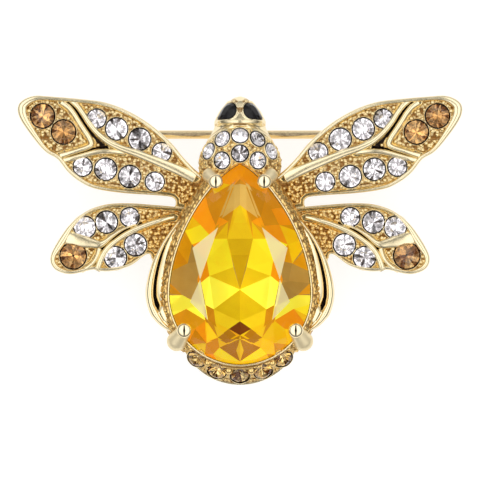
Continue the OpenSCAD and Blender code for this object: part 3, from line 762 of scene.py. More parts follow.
# %% The wings' knots
# Outline: x, y, width. Veins: x, y, width, height. Grooves: x, y, width. tip is the number of the knot
# where the leading edge ends.
WING_ROOT_X = 2
UPPER = {
    "reach": HALF_SPAN - WING_ROOT_X, "height": 9.38, "base": GEM_TIP_Y - 3.12, "tip": 11,
    "outline": [
        [0.00, 0.120, 1.0], [0.10, 0.265, 1.0], [0.17, 0.400, 1.0], [0.24, 0.560, 1.0],
        [0.345, 0.735, 1.0], [0.46, 0.865, 1.0], [0.57, 0.940, 1.0], [0.685, 0.970, 1.0],
        [0.835, 0.995, 1.0], [0.92, 1.000, 1.4], [0.98, 0.950, 1.9], [1.00, 0.870, 2.1],
        [0.98, 0.750, 1.8], [0.905, 0.550, 1.3], [0.855, 0.450, 1.0], [0.80, 0.385, 1.0],
        [0.75, 0.265, 1.0], [0.69, 0.170, 1.0], [0.61, 0.100, 0.9], [0.475, 0.060, 0.7],
        [0.325, 0.040, 0.5], [0.250, 0.027, 0.4], [0.224, 0.012, 0.4], [0.213, -0.012, 0.4],
        [0.212, -0.045, 0.4], [0.205, -0.078, 0.4], [0.100, -0.100, 0.4], [0.00, -0.100, 0.4]
    ],
    "veins": [
        [
            [0.111, 0.203, 1.5, 0.7], [0.190, 0.275, 1.45, 0.95], [0.296, 0.360, 1.3, 1],
            [0.401, 0.440, 1.1, 1], [0.486, 0.497, 1.0, 1], [0.549, 0.556, 0.9, 1],
            [0.603, 0.643, 0.84, 1], [0.643, 0.735, 0.80, 0.95], [0.673, 0.827, 0.78, 0.9],
            [0.702, 0.903, 0.78, 0.8], [0.732, 0.956, 0.78, 0.5]
        ],
        [
            [0.789, 0.419, 0.7, 0.5], [0.739, 0.446, 0.7, 0.8], [0.691, 0.475, 0.7, 0.9],
            [0.652, 0.501, 0.75, 0.95], [0.632, 0.532, 0.85, 1], [0.642, 0.590, 0.84, 1],
            [0.668, 0.668, 0.82, 1], [0.694, 0.745, 0.80, 0.95], [0.719, 0.824, 0.78, 0.9],
            [0.746, 0.888, 0.78, 0.8], [0.782, 0.940, 0.78, 0.5]
        ],
        [
            [0.464, 0.450, 0.6, 0.5], [0.507, 0.459, 0.7, 0.8], [0.554, 0.463, 0.75, 0.95],
            [0.602, 0.457, 0.8, 0.95], [0.649, 0.436, 0.78, 0.9], [0.697, 0.410, 0.75, 0.85],
            [0.739, 0.388, 0.75, 0.8], [0.771, 0.375, 0.7, 0.5]
        ]
    ],
    "grooves": [
        [
            [0.562, 0.492, 2.6], [0.583, 0.525, 2.0], [0.612, 0.592, 1], [0.640, 0.656, 1],
            [0.668, 0.735, 1], [0.694, 0.816, 1], [0.718, 0.883, 1], [0.747, 0.936, 0.7]
        ],
        [
            [0.578, 0.505, 1.4], [0.623, 0.484, 0.8], [0.665, 0.458, 0.5], [0.707, 0.434, 0.4],
            [0.750, 0.412, 0.2]
        ]
    ]
}
LOWER = {
    "reach": 17.05 - WING_ROOT_X, "height": 6.62, "base": GEM_TIP_Y - 3.65 - 6.62, "tip": 14,
    "outline": [
        [0.00, 0.890, 0.4], [0.150, 0.932, 0.4], [0.223, 0.948, 0.5], [0.320, 0.968, 0.6],
        [0.411, 0.985, 0.6], [0.502, 0.999, 0.6], [0.599, 1.000, 0.6], [0.669, 0.984, 0.7],
        [0.739, 0.940, 0.7], [0.792, 0.883, 0.7], [0.846, 0.796, 0.9], [0.898, 0.676, 1.3],
        [0.941, 0.540, 1.7], [0.975, 0.414, 1.6], [1.000, 0.291, 1.3], [1.001, 0.182, 1.2],
        [0.975, 0.092, 1.2], [0.926, 0.041, 1.0], [0.878, 0.027, 0.9], [0.824, 0.047, 0.9],
        [0.776, 0.076, 0.9], [0.739, 0.088, 0.9], [0.706, 0.070, 0.9], [0.653, 0.066, 0.9],
        [0.599, 0.084, 0.8], [0.545, 0.121, 0.7], [0.502, 0.169, 0.6], [0.459, 0.243, 0.5],
        [0.435, 0.284, 0.5], [0.415, 0.301, 0.5], [0.401, 0.285, 0.5], [0.394, 0.237, 0.5],
        [0.376, 0.200, 0.4], [0.304, 0.377, 0.4], [0.169, 0.620, 0.4], [0.00, 0.700, 0.4]
    ],
    "veins": [
        [
            [0.255, 0.804, 0.5, 0.5], [0.288, 0.794, 0.6, 0.8], [0.331, 0.767, 0.72, 1.0],
            [0.384, 0.731, 0.8, 1.0], [0.438, 0.688, 0.8, 1.0], [0.492, 0.637, 0.8, 1.0],
            [0.545, 0.580, 0.78, 1.0], [0.599, 0.497, 0.78, 1.0], [0.647, 0.409, 0.8, 1.0],
            [0.679, 0.322, 0.8, 0.95], [0.700, 0.224, 0.85, 0.9], [0.714, 0.133, 0.9, 0.8],
            [0.725, 0.078, 0.9, 0.5]
        ],
        [
            [0.486, 0.711, 0.3, 0.5], [0.524, 0.682, 0.35, 0.9], [0.572, 0.636, 0.42, 1.0],
            [0.631, 0.548, 0.6, 1.0], [0.677, 0.465, 0.8, 1.0], [0.709, 0.435, 1.1, 1.0],
            [0.755, 0.453, 1.4, 0.95], [0.803, 0.475, 1.7, 0.9], [0.857, 0.503, 1.8, 0.8],
            [0.905, 0.536, 1.8, 0.6]
        ],
        [
            [0.708, 0.383, 0.7, 0.8], [0.718, 0.298, 0.65, 0.9], [0.740, 0.202, 0.6, 0.9],
            [0.775, 0.127, 0.6, 0.8], [0.816, 0.074, 0.6, 0.5]
        ]
    ],
    "grooves": [[
        [0.454, 0.728, 0.5], [0.492, 0.692, 0.8], [0.545, 0.633, 0.9], [0.572, 0.600, 1.0],
        [0.599, 0.558, 1.1], [0.631, 0.499, 1.1], [0.663, 0.444, 1.1], [0.685, 0.399, 1.0],
        [0.698, 0.350, 0.8], [0.703, 0.301, 0.5]
    ]]
}
LOWER_SHIFT = [0.09, 0.18]
RIM_W = 0.42
RIM_H = 0.34
VEIN_W = 0.74
VEIN_H = 0.5
GROOVE_W = 0.10


def in_wing(wing, knots):
    """Knots from shares of the wing to millimetres; what follows the first two numbers stays."""
    knots = np.array(knots, float)
    knots[:, 0] = WING_ROOT_X + knots[:, 0] * wing["reach"]
    knots[:, 1] = wing["base"] + knots[:, 1] * wing["height"]
    if wing is LOWER:
        knots[:, :2] += LOWER_SHIFT
    return knots


def stone_table(kind, count):
    """Rows of x, y and radius of the stones in a right wing, from their nodes' boxes."""
    rows = []
    for i in range(1, count + 1):
        low, high = box_mm(f"{kind}_wing_stone_right_{i}")
        rows.append([(low[0] + high[0]) / 2, (low[1] + high[1]) / 2, (high[0] - low[0]) / 2])
    return np.array(rows)


UPPER_STONES = stone_table("upper", 10)
LOWER_STONES = stone_table("lower", 6)
LOWER_STONES[:, :2] += LOWER_SHIFT
print("stones in a wing:", len(UPPER_STONES), len(LOWER_STONES))

# %% Distances in the plane
AT_ONCE = 4000


def nearest(points, others):
    """The number of the nearest of some others to each point, and its distance, sqrt(dx^2 + dy^2). The
    points are taken a block at a time, to spare memory."""
    number = np.empty(len(points), int)
    for k in range(0, len(points), AT_ONCE):
        gap = points[k:k + AT_ONCE, None, :2] - others[None, :, :2]
        number[k:k + AT_ONCE] = (gap**2).sum(-1).argmin(1)
    return number, np.sqrt(((points[:, :2] - others[number, :2]) ** 2).sum(-1))


def away(points, others):
    """The distance from each point to the nearest of some others."""
    return nearest(points, others)[1]


def within(points, loop):
    """Whether each point lies inside a closed loop: a ray to one side crosses it an odd number of
    times."""
    x, y = points[:, 0], points[:, 1]
    inside = np.zeros(len(points), bool)
    for (ax, ay), (bx, by) in zip(loop[:, :2], np.roll(loop[:, :2], -1, 0)):
        crosses = (ay > y) != (by > y)
        at = ax + (y - ay) * (bx - ax) / (by - ay if by != ay else 1e-9)
        inside ^= crosses & (x < at)
    return inside


def clear_of_stones(points, stones):
    """The distance from each point to the edge of the nearest stone; below 0 under one."""
    d = np.sqrt(((points[:, None, :2] - stones[None, :, :2]) ** 2).sum(-1)) - stones[None, :, 2]
    return d.min(1)


# %% A wing's grained ground
CUP_CLEAR = 0.3
GROUND_ROWS = 320
GROUND_COLUMNS = 110
GRAINS = (0.42, 0.19)


def clear_of_cup(line):
    """The stretch of a line that stays outside the big stone's cup."""
    return line[~within(line, pear_ring(360, out=CUP_CLEAR))]


def ground_relief(spots, outline, stones, veins, grooves, seed):
    """Height, share of painted shade between the grains, and share sunk, where faces take the painted
    shade of a pocket, at each spot. The height is the ground's, plus grains, less a pointed hollow under
    each stone and a groove along each dark line."""
    edge = clear_of_stones(spots, stones)
    own, gap = nearest(spots, grooves)
    cut = gap / np.maximum(0.001, GROOVE_W * grooves[own, 2])
    side = np.minimum(away(spots, outline) - RIM_W, away(spots, veins) - 0.5 * VEIN_W)
    calm = ease(side, -0.05, 0.10) * ease(edge, 0.10, 0.24)
    bump = two_grains(spots[:, 0], spots[:, 1], GRAINS, (seed, seed + 5))
    sunk = np.maximum(1 - ease(edge, 0.02, 0.10), 1 - ease(cut, 0.8, 1.2))
    z = GROUND_Z - 0.05 + 0.30 * bump * calm - 0.4 * sunk
    cone = GROUND_Z + 0.04 - STONE_PAVILION * np.minimum(-edge, 0.9)
    z = np.where(edge < 0, np.minimum(z, cone), z)
    # The share of painted shade is highest between the grains.
    return z, np.clip((0.80 - bump) / 0.70, 0, 1) * calm, sunk


def wing_ground(wing, outline, stones, veins, grooves, seed):
    """The ground: a grid whose rows run from the leading to the trailing edge, each point a share v of
    the way from one to the other, closed by walls and a flat back."""
    steps = len(outline) // len(wing["outline"])
    tip = wing["tip"] * steps
    inner = outline[:, :2] + 0.5 * RIM_W * outline[:, 2:3] * rightwards(outline, True)
    leading = evenly(clear_of_cup(inner[:tip + 1]), GROUND_ROWS)
    trailing = evenly(clear_of_cup(inner[:tip - 1:-1]), GROUND_ROWS)
    v = np.linspace(0, 1, GROUND_COLUMNS)[None, :, None]
    flat = leading[:, None, :] * (1 - v) + trailing[:, None, :] * v
    n, m = flat.shape[:2]
    spots = flat.reshape(-1, 2)
    z, deep, sunk = ground_relief(spots, outline, stones, veins, grooves, seed)
    back = np.concatenate([np.stack([leading, trailing], 1), np.full((n, 2, 1), WING_BACK_Z + 0.12)], -1)
    points = np.vstack([np.column_stack([spots, z]), back.reshape(-1, 3)])
    first = n * m
    i = np.arange(n - 1)
    low = first + 2 * i
    grid = grid_rows(n, m)[:, ::-1]
    # Faces mostly sunk, in grooves and at stones, take the third finish: painted shade.
    dark = sunk[grid].mean(1) > 0.4
    root_end = np.concatenate([np.arange(m)[::-1], [first, first + 1]])
    tip_end = np.concatenate([first - m + np.arange(m), [first + 2 * n - 1, first + 2 * n - 2]])
    blocks = [
        (grid[~dark], 0, True), (grid[dark], 2, True),
        (np.stack([low, low + 2, low + 3, low + 1], -1), 1, False),
        (np.stack([i * m, (i + 1) * m, low + 2, low], -1), 1, False),
        (np.stack([i * m + m - 1, low + 1, low + 3, (i + 1) * m + m - 1], -1), 1, False),
        (root_end[None, ::-1], 1, False), (tip_end[None, ::-1], 1, False)
    ]
    return Shell(points, blocks, np.concatenate([deep, np.zeros(2 * n)])).outward()


# %% A wing's rim and veins
def wing_rim(outline):
    """The rim and the wing's edge: a D section, upright outside and rounded on top, carried round the
    outline. Its width follows the outline's third number."""
    outline = clear_of_cup(outline)
    w = RIM_W * outline[:, 2:3]
    t = np.linspace(0, np.pi, 13)[None, :]
    across = 0.5 * w * (1 - np.cos(t)) + 0 * t
    up = GROUND_Z + RIM_H * np.sin(t) ** 0.8 + 0 * w
    n = len(outline)
    low = np.array([
        [1.0, GROUND_Z - 0.3], [0.96, WING_BACK_Z + 0.05], [0.8, WING_BACK_Z], [0.12, WING_BACK_Z],
        [0.0, WING_BACK_Z + 0.1]
    ])
    across = np.concatenate([across, w * low[None, :, 0]], 1)
    up = np.concatenate([up, np.repeat(low[None, :, 1], n, 0)], 1)
    return ribbon(outline, np.stack([across, up], -1))


def vein_ridge(knots):
    """A vein: a half round of its own width and height at each point, sunk a little in the ground."""
    line = through(knots, 10)
    t = np.linspace(0, np.pi, 13)[None, :]
    half = 0.5 * VEIN_W * line[:, 2:3]
    across = half * np.cos(t)
    up = GROUND_Z - 0.04 + VEIN_H * line[:, 3:4] * np.sin(t) ** 0.7
    across = np.concatenate([across, -half, half], 1)
    up = np.concatenate([up, np.full((len(line), 2), GROUND_Z - 0.3)], 1)
    return ribbon(line, np.stack([across, up], -1))


# %% A wing's beads
BEAD_SPACING = 0.46


def bead_places(outline, stones, veins, seed):
    """Places for beads on the free ground: eight round each stone and then random ones, kept clear of
    stones, rim and veins, and taken in turn when no bead lies closer than the spacing."""
    luck = np.random.default_rng(seed)
    low, high = outline[:, :2].min(0), outline[:, :2].max(0)
    spots = luck.uniform(low, high, (9000, 2))
    spots = spots[within(spots, outline)]
    turn = np.radians(np.arange(0, 360, 45) + 20)
    circle = np.stack([np.cos(turn), np.sin(turn)], -1)
    round_stones = stones[:, None, :2] + (stones[:, 2:, None] + 0.24) * circle
    spots = np.vstack([round_stones.reshape(-1, 2), spots])
    keep = (clear_of_stones(spots, stones) > 0.22) & (away(spots, outline) > RIM_W + 0.16)
    keep &= away(spots, veins) > 0.5 * VEIN_W + 0.16
    chosen = []
    for spot in spots[keep]:
        if not chosen or min(np.hypot(*(np.array(chosen) - spot).T)) > BEAD_SPACING:
            chosen.append(spot)
    return np.array(chosen)


# %% Put the wings down
STONE_GIRDLE_Z = GROUND_Z + 0.16


def wing(kind, knots, stones, seed):
    """One right wing and its mirror image."""
    outline = through(in_wing(knots, knots["outline"]), 14, closed=True)
    vein_knots = [in_wing(knots, v) for v in knots["veins"]]
    veins = np.vstack([through(v, 10)[:, :2] for v in vein_knots])
    grooves = np.vstack([through(in_wing(knots, g), 12) for g in knots["grooves"]])
    spots = bead_places(outline, stones, veins, seed)
    luck = np.random.default_rng(seed + 1)
    sizes = luck.uniform(0.17, 0.25, len(spots))
    bead_z = np.full(len(spots), GROUND_Z + 0.03)
    ground = wing_ground(knots, outline, stones, veins, grooves, seed)
    shells = [ground, beads(np.column_stack([spots, bead_z]), sizes)]
    smooth = [wing_rim(outline)] + [vein_ridge(v) for v in vein_knots]
    smooth += [collar([x, y, STONE_GIRDLE_Z], r, [0, 0, 1]) for x, y, r in stones]
    shells += [shell.next_finish() for shell in smooth]
    finishes = [grained_gold, polished_gold, pocket_painted_shade]
    for side, made in (("right", shells), ("left", [s.mirrored() for s in shells])):
        piece = put_down(f"{kind}_wing_{side}", made, finishes)
        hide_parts("body_casting")


wing("upper", UPPER, UPPER_STONES, 3)
wing("lower", LOWER, LOWER_STONES, 8)

# %% The stones of the wings
def wing_stones(kind, stones, topaz):
    """A brilliant in the place of each stone's node, on both sides."""
    luck = np.random.default_rng(len(stones))
    for i, (x, y, r) in enumerate(stones, 1):
        for side, sign in (("right", 1), ("left", -1)):
            node = f"{kind}_wing_stone_{side}_{i}"
            shell = small_stone([sign * x, y, STONE_GIRDLE_Z], r, [0, 0, 1], luck)
            brown = i <= topaz
            finishes = [topaz_glass, topaz_foil] if brown else [clear_glass, clear_foil]
            piece = put_down(f"cut_{node}", [shell], finishes)
            paint_facet_reflections(piece, luck, *(TOPAZ_FACET_REFLECTIONS if brown else CLEAR_FACET_REFLECTIONS))
            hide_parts(node)


wing_stones("upper", UPPER_STONES, 2)
wing_stones("lower", LOWER_STONES, 1)

# %% [markdown]
# ## Thorax and head
# The body is one rounded casting that rises from the tip of the big stone, fattest where the wings
# join it, drawn in at the neck, and domed at the head. It could be turned out of a few spheres, but a
# loft is truer: a row of half widths and heights along the body, joined by a smooth curve, with each
# cross-section half an ellipse. The details are added along the surface's own normal: polished rims
# round the eyes, a notch and two pits between them, a lip with a fine groove under it, a border band,
# and grains on the thorax.

# %% The body's smooth form
# Rows hold the place along the body, the half width and the height, as shares of the scales below.
THORAX_L = 3.2
THORAX_SCALE = [THORAX_L, 3.85, 3.2]
HEAD_SCALE = [3, 2.35, 2.1]
HEAD_Y = GEM_TIP_Y + THORAX_L
WAIST_Z = 4.1
THORAX_ROWS = [
    [-0.75, 0.68, 0.72], [-0.4, 0.90, 0.92], [0, 0.965, 1], [0.25, 0.94, 1], [0.5, 0.85, 0.95],
    [0.75, 0.735, 0.86], [0.95, 0.645, 0.74]
]
HEAD_ROWS = [
    [0.04, 1.01, 0.93], [0.10, 0.99, 0.92], [0.17, 1.00, 1.00], [0.27, 0.985, 1.04], [0.36, 0.93, 1.00],
    [0.59, 0.77, 0.90], [0.82, 0.49, 0.72], [0.94, 0.28, 0.52], [0.98, 0.17, 0.42],
    [1.00, 0.07, 0.34]
]
BODY_LINE = through(np.vstack([
    np.array(THORAX_ROWS) * THORAX_SCALE + [GEM_TIP_Y, 0, 0],
    np.array(HEAD_ROWS) * HEAD_SCALE + [HEAD_Y, 0, 0]
]), 12)
print("body from", round(BODY_LINE[0, 0], 2), "to", round(BODY_LINE[-1, 0], 2))


def half_width(y):
    """Half the body's width at a place along it."""
    return np.interp(y, BODY_LINE[:, 0], BODY_LINE[:, 1])


def rise(y):
    """The body's height over its waist at a place along it."""
    return np.interp(y, BODY_LINE[:, 0], BODY_LINE[:, 2])


def on_body(across, y):
    """A point of the smooth body: x = across w(y), z = waist + h(y) sqrt(1 - across^2)."""
    up = np.sqrt(np.clip(1 - across**2, 0, 1))
    return np.stack(np.broadcast_arrays(across * half_width(y), y, WAIST_Z + rise(y) * up), -1)


def out_of_body(across, y):
    """The way out of the body at a place: square to one small step across it and one along it."""
    side = on_body(across + 0.08, y) - on_body(across - 0.08, y)
    along = on_body(across, y + 0.25) - on_body(across, y - 0.25)
    return unit(np.cross(side, along))


# %% Seats of the stones on the thorax
THORAX_STONES = [[0, 0.31], [0, 0.81], [0.43, 0.115], [0.54, 0.72], [0.80, 0.375]]
THORAX_R = 0.71
SEAT_LIFT = 0.08
seats = np.array([
    [side * across, GEM_TIP_Y + THORAX_L * along]
    for across, along in THORAX_STONES for side in ((1, -1) if across else (1,))
])
seat_way = out_of_body(seats[:, 0], seats[:, 1])
seat_at = on_body(seats[:, 0], seats[:, 1]) + SEAT_LIFT * seat_way
print("stones on the thorax:", len(seats))


def clear_of_seats(points, places):
    """The distance in space from each point to the edge of the nearest stone of the thorax."""
    return np.stack([np.linalg.norm(points - p, axis=-1) for p in places], 0).min(0) - THORAX_R


# %% The eyes' outline, and distances on the face
EYE_OUTLINE = through([
    [0.82, 12.40], [0.57, 12.33], [0.41, 12.10], [0.37, 11.66], [0.56, 11.24], [0.88, 11.02], [1.35, 10.95],
    [2.04, 10.93], [1.98, 11.14], [1.77, 11.55], [1.50, 12.00], [1.12, 12.34]
], 8, closed=True)


def eye_distance(x, y):
    """How far a place is outside the eye's drop-shaped outline, seen from above; below 0 inside it."""
    spots = np.stack([np.abs(x).ravel(), y.ravel()], -1)
    near = (spots[:, 0] < 2.7) & (spots[:, 1] > 10.3)
    out = np.full(len(spots), 1.0)
    out[near] = away(spots[near], EYE_OUTLINE) * np.where(within(spots[near], EYE_OUTLINE), -1, 1)
    return out.reshape(x.shape)


def bump_at(distance, width):
    """A smooth bump, 1 at distance 0 and 0 beyond its width."""
    return (1 - np.clip(np.abs(distance) / width, 0, 1) ** 2) ** 2


def border_line(x):
    """The thorax's edge: an arch over the stones, lower to the sides."""
    return 10.31 - 0.155 * x**2


# %% The relief of the face
# Places in millimetres from the middle: across, along.
PIT = (0.31, 12.54)
BEAD_ON_HEAD = (0.54, 12.56)
NOTCH_Y = 11.42
NOTCH_L = 0.54
NOTCH_W = 0.40
MOUTH_Y = 10.44
FLAT_W = 0.45


def face_relief(x, y):
    """Height of the polished details over the smooth body, how deep in shade each place is, and how far
    it lies beyond the thorax's edge. Each detail is a smooth step or bump in the distance from it: the
    eyes' rims and seats, two pits, a notch that widens upwards, a lip over the mouth's groove, a band
    with a valley behind it, a flat on the brow, and shade round the two beads."""
    eye = eye_distance(x, y)
    x = np.abs(x)
    rim = 0.09 * bump_at(eye - 0.13, 0.12) * ease(y, 10.8, 11.2) * (1 - ease(x, 1.2, 1.6))
    seat = -0.30 * (1 - ease(eye, -0.03, 0.05))
    pit = 1 - ease(np.hypot(x - PIT[0], y - PIT[1]), 0.05, 0.13)
    share = np.clip((y - NOTCH_Y) / NOTCH_L, 0, 1)
    notch = 1 - ease(x, NOTCH_W * share - 0.06, NOTCH_W * share + 0.03)
    notch = notch * ease(y, NOTCH_Y, 11.6) * (1 - ease(y, 11.95, 12.02))
    lip = 0.08 * ease(y, 10.50, 10.57) * (1 - ease(y, 10.80, 10.87)) * (1 - ease(x, 1.95, 2.1))
    mouth = bump_at(y - MOUTH_Y + 0.05 * x**2, 0.10) * (1 - ease(x, 0.55, 0.68))
    edge = y - border_line(x)
    band = 0.08 * bump_at(edge, 0.17)
    valley = -0.05 * bump_at(edge - 0.2, 0.09)
    flat = 0.21 * np.clip(FLAT_W**2 - x**2, 0, None) * ease(y, 10.85, 10.95) * (1 - ease(y, 11.4, 11.7))
    round_bead = bump_at(np.hypot(x - BEAD_ON_HEAD[0], y - BEAD_ON_HEAD[1]) - 0.19, 0.07)
    height = rim + seat - flat - 0.08 * pit - 0.08 * notch + lip - 0.09 * mouth + band + valley
    shades = [
        mouth, pit, notch * (0.45 + 0.5 * share), 0.7 * round_bead, 0.5 * bump_at(edge - 0.2, 0.08),
        1 - ease(eye, -0.02, 0.05)
    ]
    return height, np.max(shades, 0), edge


# %% The body's mesh
FINE_GRAINS = (0.40, 0.19)
SIDE_MOST = 0.97
GIRTH_R = 3.0


def body_shell():
    """A grid of rows along the body and columns round it. Each column starts where it clears the big
    stone, so the body wraps round the stone's tip, and the start is closed by a wall. Normals are taken
    no further out than SIDE_MOST of the half width, because the form's edge has none. The grains run
    over the place along the body and the turn round it times GIRTH_R."""
    columns, rows = 300, 230
    a = 2 * np.pi * (np.arange(columns) + 0.5) / columns
    across = np.cos(a)
    y = np.linspace(BODY_LINE[0, 0], BODY_LINE[-1, 0], 1500)
    edge = beside_pear(np.linspace(0, 90, 400), np.full(400, 0.10))
    pear_half = np.interp(y, edge[:, 1], edge[:, 0], right=-1)
    blocked = np.abs(across)[None, :] * half_width(y)[:, None] < pear_half[:, None]
    last = len(y) - 1 - np.argmax(blocked[::-1], 0)
    start = np.where(blocked.any(0), y[np.minimum(last + 1, len(y) - 1)], y[0])
    s = np.linspace(0, 1, rows)[:, None]
    along = start[None, :] + s * (BODY_LINE[-1, 0] - start[None, :])
    h = rise(along)
    wide = half_width(along)
    up = np.sin(a)[None, :]
    z = WAIST_Z + np.where(up > 0, up * h, 0.8 * up * np.minimum(1, wide / 0.8))
    points = np.stack([across[None, :] * wide, along, z], -1)
    normal = out_of_body(np.clip(np.broadcast_to(across, along.shape), -SIDE_MOST, SIDE_MOST), along)
    relief, deep, border = face_relief(points[..., 0], along)
    girth = np.arctan2(up * h, across[None, :] * wide) * GIRTH_R
    bump = two_grains(girth, along, FINE_GRAINS, (21, 22))
    clear = clear_of_seats(points, seat_at)
    grain = ease(-border, 0.15, 0.3) * ease(clear, 0.14, 0.28)
    under = (up > 0) * np.ones_like(along)
    hollow = -0.8 * (1 - ease(clear, 0.04, 0.11)) * (border < 0.05)
    lift = (relief + 0.22 * grain * bump + hollow) * ease(up, 0.0, 0.25) * ease(s, 0.0, 0.02)
    points = points + lift[..., None] * normal * under[..., None]
    # Between the thorax's grains deep adds painted shade.
    deep = np.maximum(deep, grain * np.clip((0.62 - bump) / 0.62, 0, 1)) * under
    grid = grid_rows(rows, columns, wrap=True)
    centre = points.reshape(-1, 3)[grid].mean(1)
    # Faces round each thorax stone's seat take the third finish, painted shade.
    mid = clear_of_seats(centre, seat_at - 0.3 * seat_way) < 0.12
    mid &= centre[:, 1] < border_line(centre[:, 0]) + 0.05
    rough = (centre[:, 1] < border_line(centre[:, 0]) - 0.14) & (centre[:, 2] > WAIST_Z)
    half = columns // 2
    j = np.arange(half - 1)
    wall = np.stack([j, j + 1, columns - 2 - j, columns - 1 - j], -1)
    cap = (np.arange(columns) + (rows - 1) * columns)[None, :]
    blocks = [
        (grid[~mid & ~rough], 1, True), (grid[~mid & rough], 0, True), (grid[mid], 2, False),
        (wall[:, ::-1], 0, False), (cap, 1, True)
    ]
    return Shell(points, blocks, deep).outward()


# %% Beads on the thorax and the head
def thorax_beads():
    """Round beads between the thorax's stones, spaced like those of the wings."""
    luck = np.random.default_rng(31)
    across = luck.uniform(-0.98, 0.98, 5000)
    points = on_body(across, luck.uniform(GEM_TIP_Y - 1.9, 10.1, 5000))
    clear = clear_of_seats(points, seat_at) > 0.32
    clear &= points[:, 1] < border_line(points[:, 0]) - 0.3
    pear = beside_pear(np.linspace(-90, 270, 720), np.full(720, 0.0))
    clear &= (away(points, pear) > 0.45) & ~within(points, pear)
    chosen = []
    for i in np.flatnonzero(clear):
        if all(np.linalg.norm(points[i] - points[k]) > 0.5 for k in chosen):
            chosen.append(i)
    return beads(points[chosen], luck.uniform(0.15, 0.22, len(chosen)))


def head_beads():
    """Two larger beads side by side above the eyes."""
    x, y = np.array([[side * BEAD_ON_HEAD[0], BEAD_ON_HEAD[1]] for side in (1, -1)]).T
    return beads(on_body(x / half_width(y), y) + [0, 0, 0.04], [0.15, 0.15], sides=16, rings=8)


# %% Put the body and its stones down
body = [body_shell(), thorax_beads(), head_beads()]
body += [collar(place, THORAX_R, way).next_finish() for place, way in zip(seat_at, seat_way)]
thorax_and_head = put_down("thorax_and_head", body, [grained_gold, polished_gold, pocket_painted_shade])
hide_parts("body_casting")

luck = np.random.default_rng(5)
cut = [small_stone(p, THORAX_R, way, luck) for p, way in zip(seat_at, seat_way)]
cut_thorax_stones = put_down("cut_thorax_stones", cut, [clear_glass, clear_foil])
paint_facet_reflections(cut_thorax_stones, luck, *CLEAR_FACET_REFLECTIONS)
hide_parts("thorax_stones")

# %% [markdown]
# ## Cup, side bars and tail
# The big stone sits in a deep cup, a bowl whose every ring is the pear's outline moved in or out. Its
# shoulder shows as a narrow grained strip round the stone, with a thin bright rim. On each side a
# polished bar bows along the cup, and at the round end a crescent carries five small brown stones,
# over a foil of their own that is darker than that of the other brown stones, with more and darker
# painted dark reflections.

# %% The cup's grained shoulder
CUP_SIDES = 720
CUP_OUT = 0.15
SHOULDER_W = 0.90
SHOULDER_Z = 4.45
TUCKED = 0.12
cup_turn = -90 + 360 * np.arange(CUP_SIDES) / CUP_SIDES
cup_tuck = TUCKED + (1 - TUCKED) * ease(np.minimum(cup_turn + 90, 270 - cup_turn), 38, 45)


def cup_shoulder():
    """Rings of the shoulder and how deep in shade they are. At the share t of the way up, a ring stands
    out by 0.90 - 0.87 t^1.6 and up by 1.7 t^0.6; over the tail it is tucked in."""
    edge = pear_ring(CUP_SIDES)[:, :2]
    along = np.cumsum(np.linalg.norm(edge - np.roll(edge, 1, 0), axis=1))
    t = np.linspace(0.05, 1, 20)[:, None]
    line = np.broadcast_to(along, (len(t), CUP_SIDES))
    bump = two_grains(line, np.broadcast_to(1.9 * t, line.shape), (0.38, 0.18), (41, 42), (0.7, 0.3))
    lift = 0.20 * bump * (ease(t, 0.02, 0.12) * (1 - ease(t, 0.9, 1.0)))
    out = CUP_OUT + (SHOULDER_W - 0.87 * t**1.6) * cup_tuck + 0.6 * lift
    z = SHOULDER_Z + 1.7 * t**0.6 + 0.6 * lift
    rings = [np.column_stack([beside_pear(cup_turn, o), h]) for o, h in zip(out, z)]
    return rings, 0.9 * np.clip((0.72 - bump) / 0.65, 0, 1)


# %% The cup
# Rings of the rim as out of the pear and height.
CUP_RIM = [[0.19, 6.22], [0.185, 6.36], [0.15, 6.40], [0.10, 6.40], [0.05, 6.36], [0.05, 6.15]]


def cup_shell():
    """A loft of rings: up the outside, over the grained shoulder and the rim, and down inside."""
    foot = np.column_stack([
        beside_pear(cup_turn, CUP_OUT + SHOULDER_W * cup_tuck), np.full(CUP_SIDES, SHOULDER_Z)
    ])
    outside = [pear_ring(CUP_SIDES, share=s, z=z) for s, z in ((0.441, 0.02), (0.46, 0), (0.72, 1.32))]
    outside += [pear_ring(CUP_SIDES, out=0.2, z=3.3), foot]
    shoulder, shade = cup_shoulder()
    rim = [pear_ring(CUP_SIDES, out=out, z=z) for out, z in CUP_RIM]
    inside = [pear_ring(CUP_SIDES, out=0.05, z=5.3)]
    inside += [pear_ring(CUP_SIDES, share=s, z=z) for s, z in ((0.85, 4.2), (0.05, 1.7))]
    sections = np.array(outside + shoulder + rim + inside)
    rings, sides = sections.shape[:2]
    rows = grid_rows(rings, sides, wrap=True)
    level = np.repeat(np.arange(rings - 1), sides)
    first = len(outside)
    last = first + len(shoulder)
    slot = np.full(rings - 1, 1)
    slot[first:last - 1] = 0
    # Inside the rim the cup takes the third finish, painted shade, as does its bottom.
    slot[last + len(rim) - 1:] = 2
    ends = np.arange(sides)[None, :]
    blocks = [(rows[slot[level] == s], s, True) for s in (0, 1, 2)]
    blocks += [(ends[:, ::-1], 1, False), (ends + (rings - 1) * sides, 2, False)]
    deep = np.zeros((rings, sides))
    deep[first:last] = shade
    return Shell(sections, blocks, deep).outward()


# %% The side bars
# BAR: turn round the pear, and how far the bar's inner and outer edge stand out of it. The groove's
# width goes by the turn too.
BAR_Z = 5.1
BAR_FOOT_Z = 3.6
BAR = [
    [36, 0.45, 0.85], [23, 0.80, 1.60], [10, 0.76, 2.05], [0, 0.70, 2.22], [-12, 0.70, 2.04],
    [-17, 0.66, 1.78], [-22.4, 0.56, 1.42], [-29.2, 0.30, 0.86], [-36, 0.05, 0.60]
]
GROOVE_AT = [-13, -9.5, -8, -4, 5, 15, 24, 30]
GROOVE_WIDE = [0.01, 0.14, 0.30, 0.20, 0.16, 0.13, 0.06, 0.01]


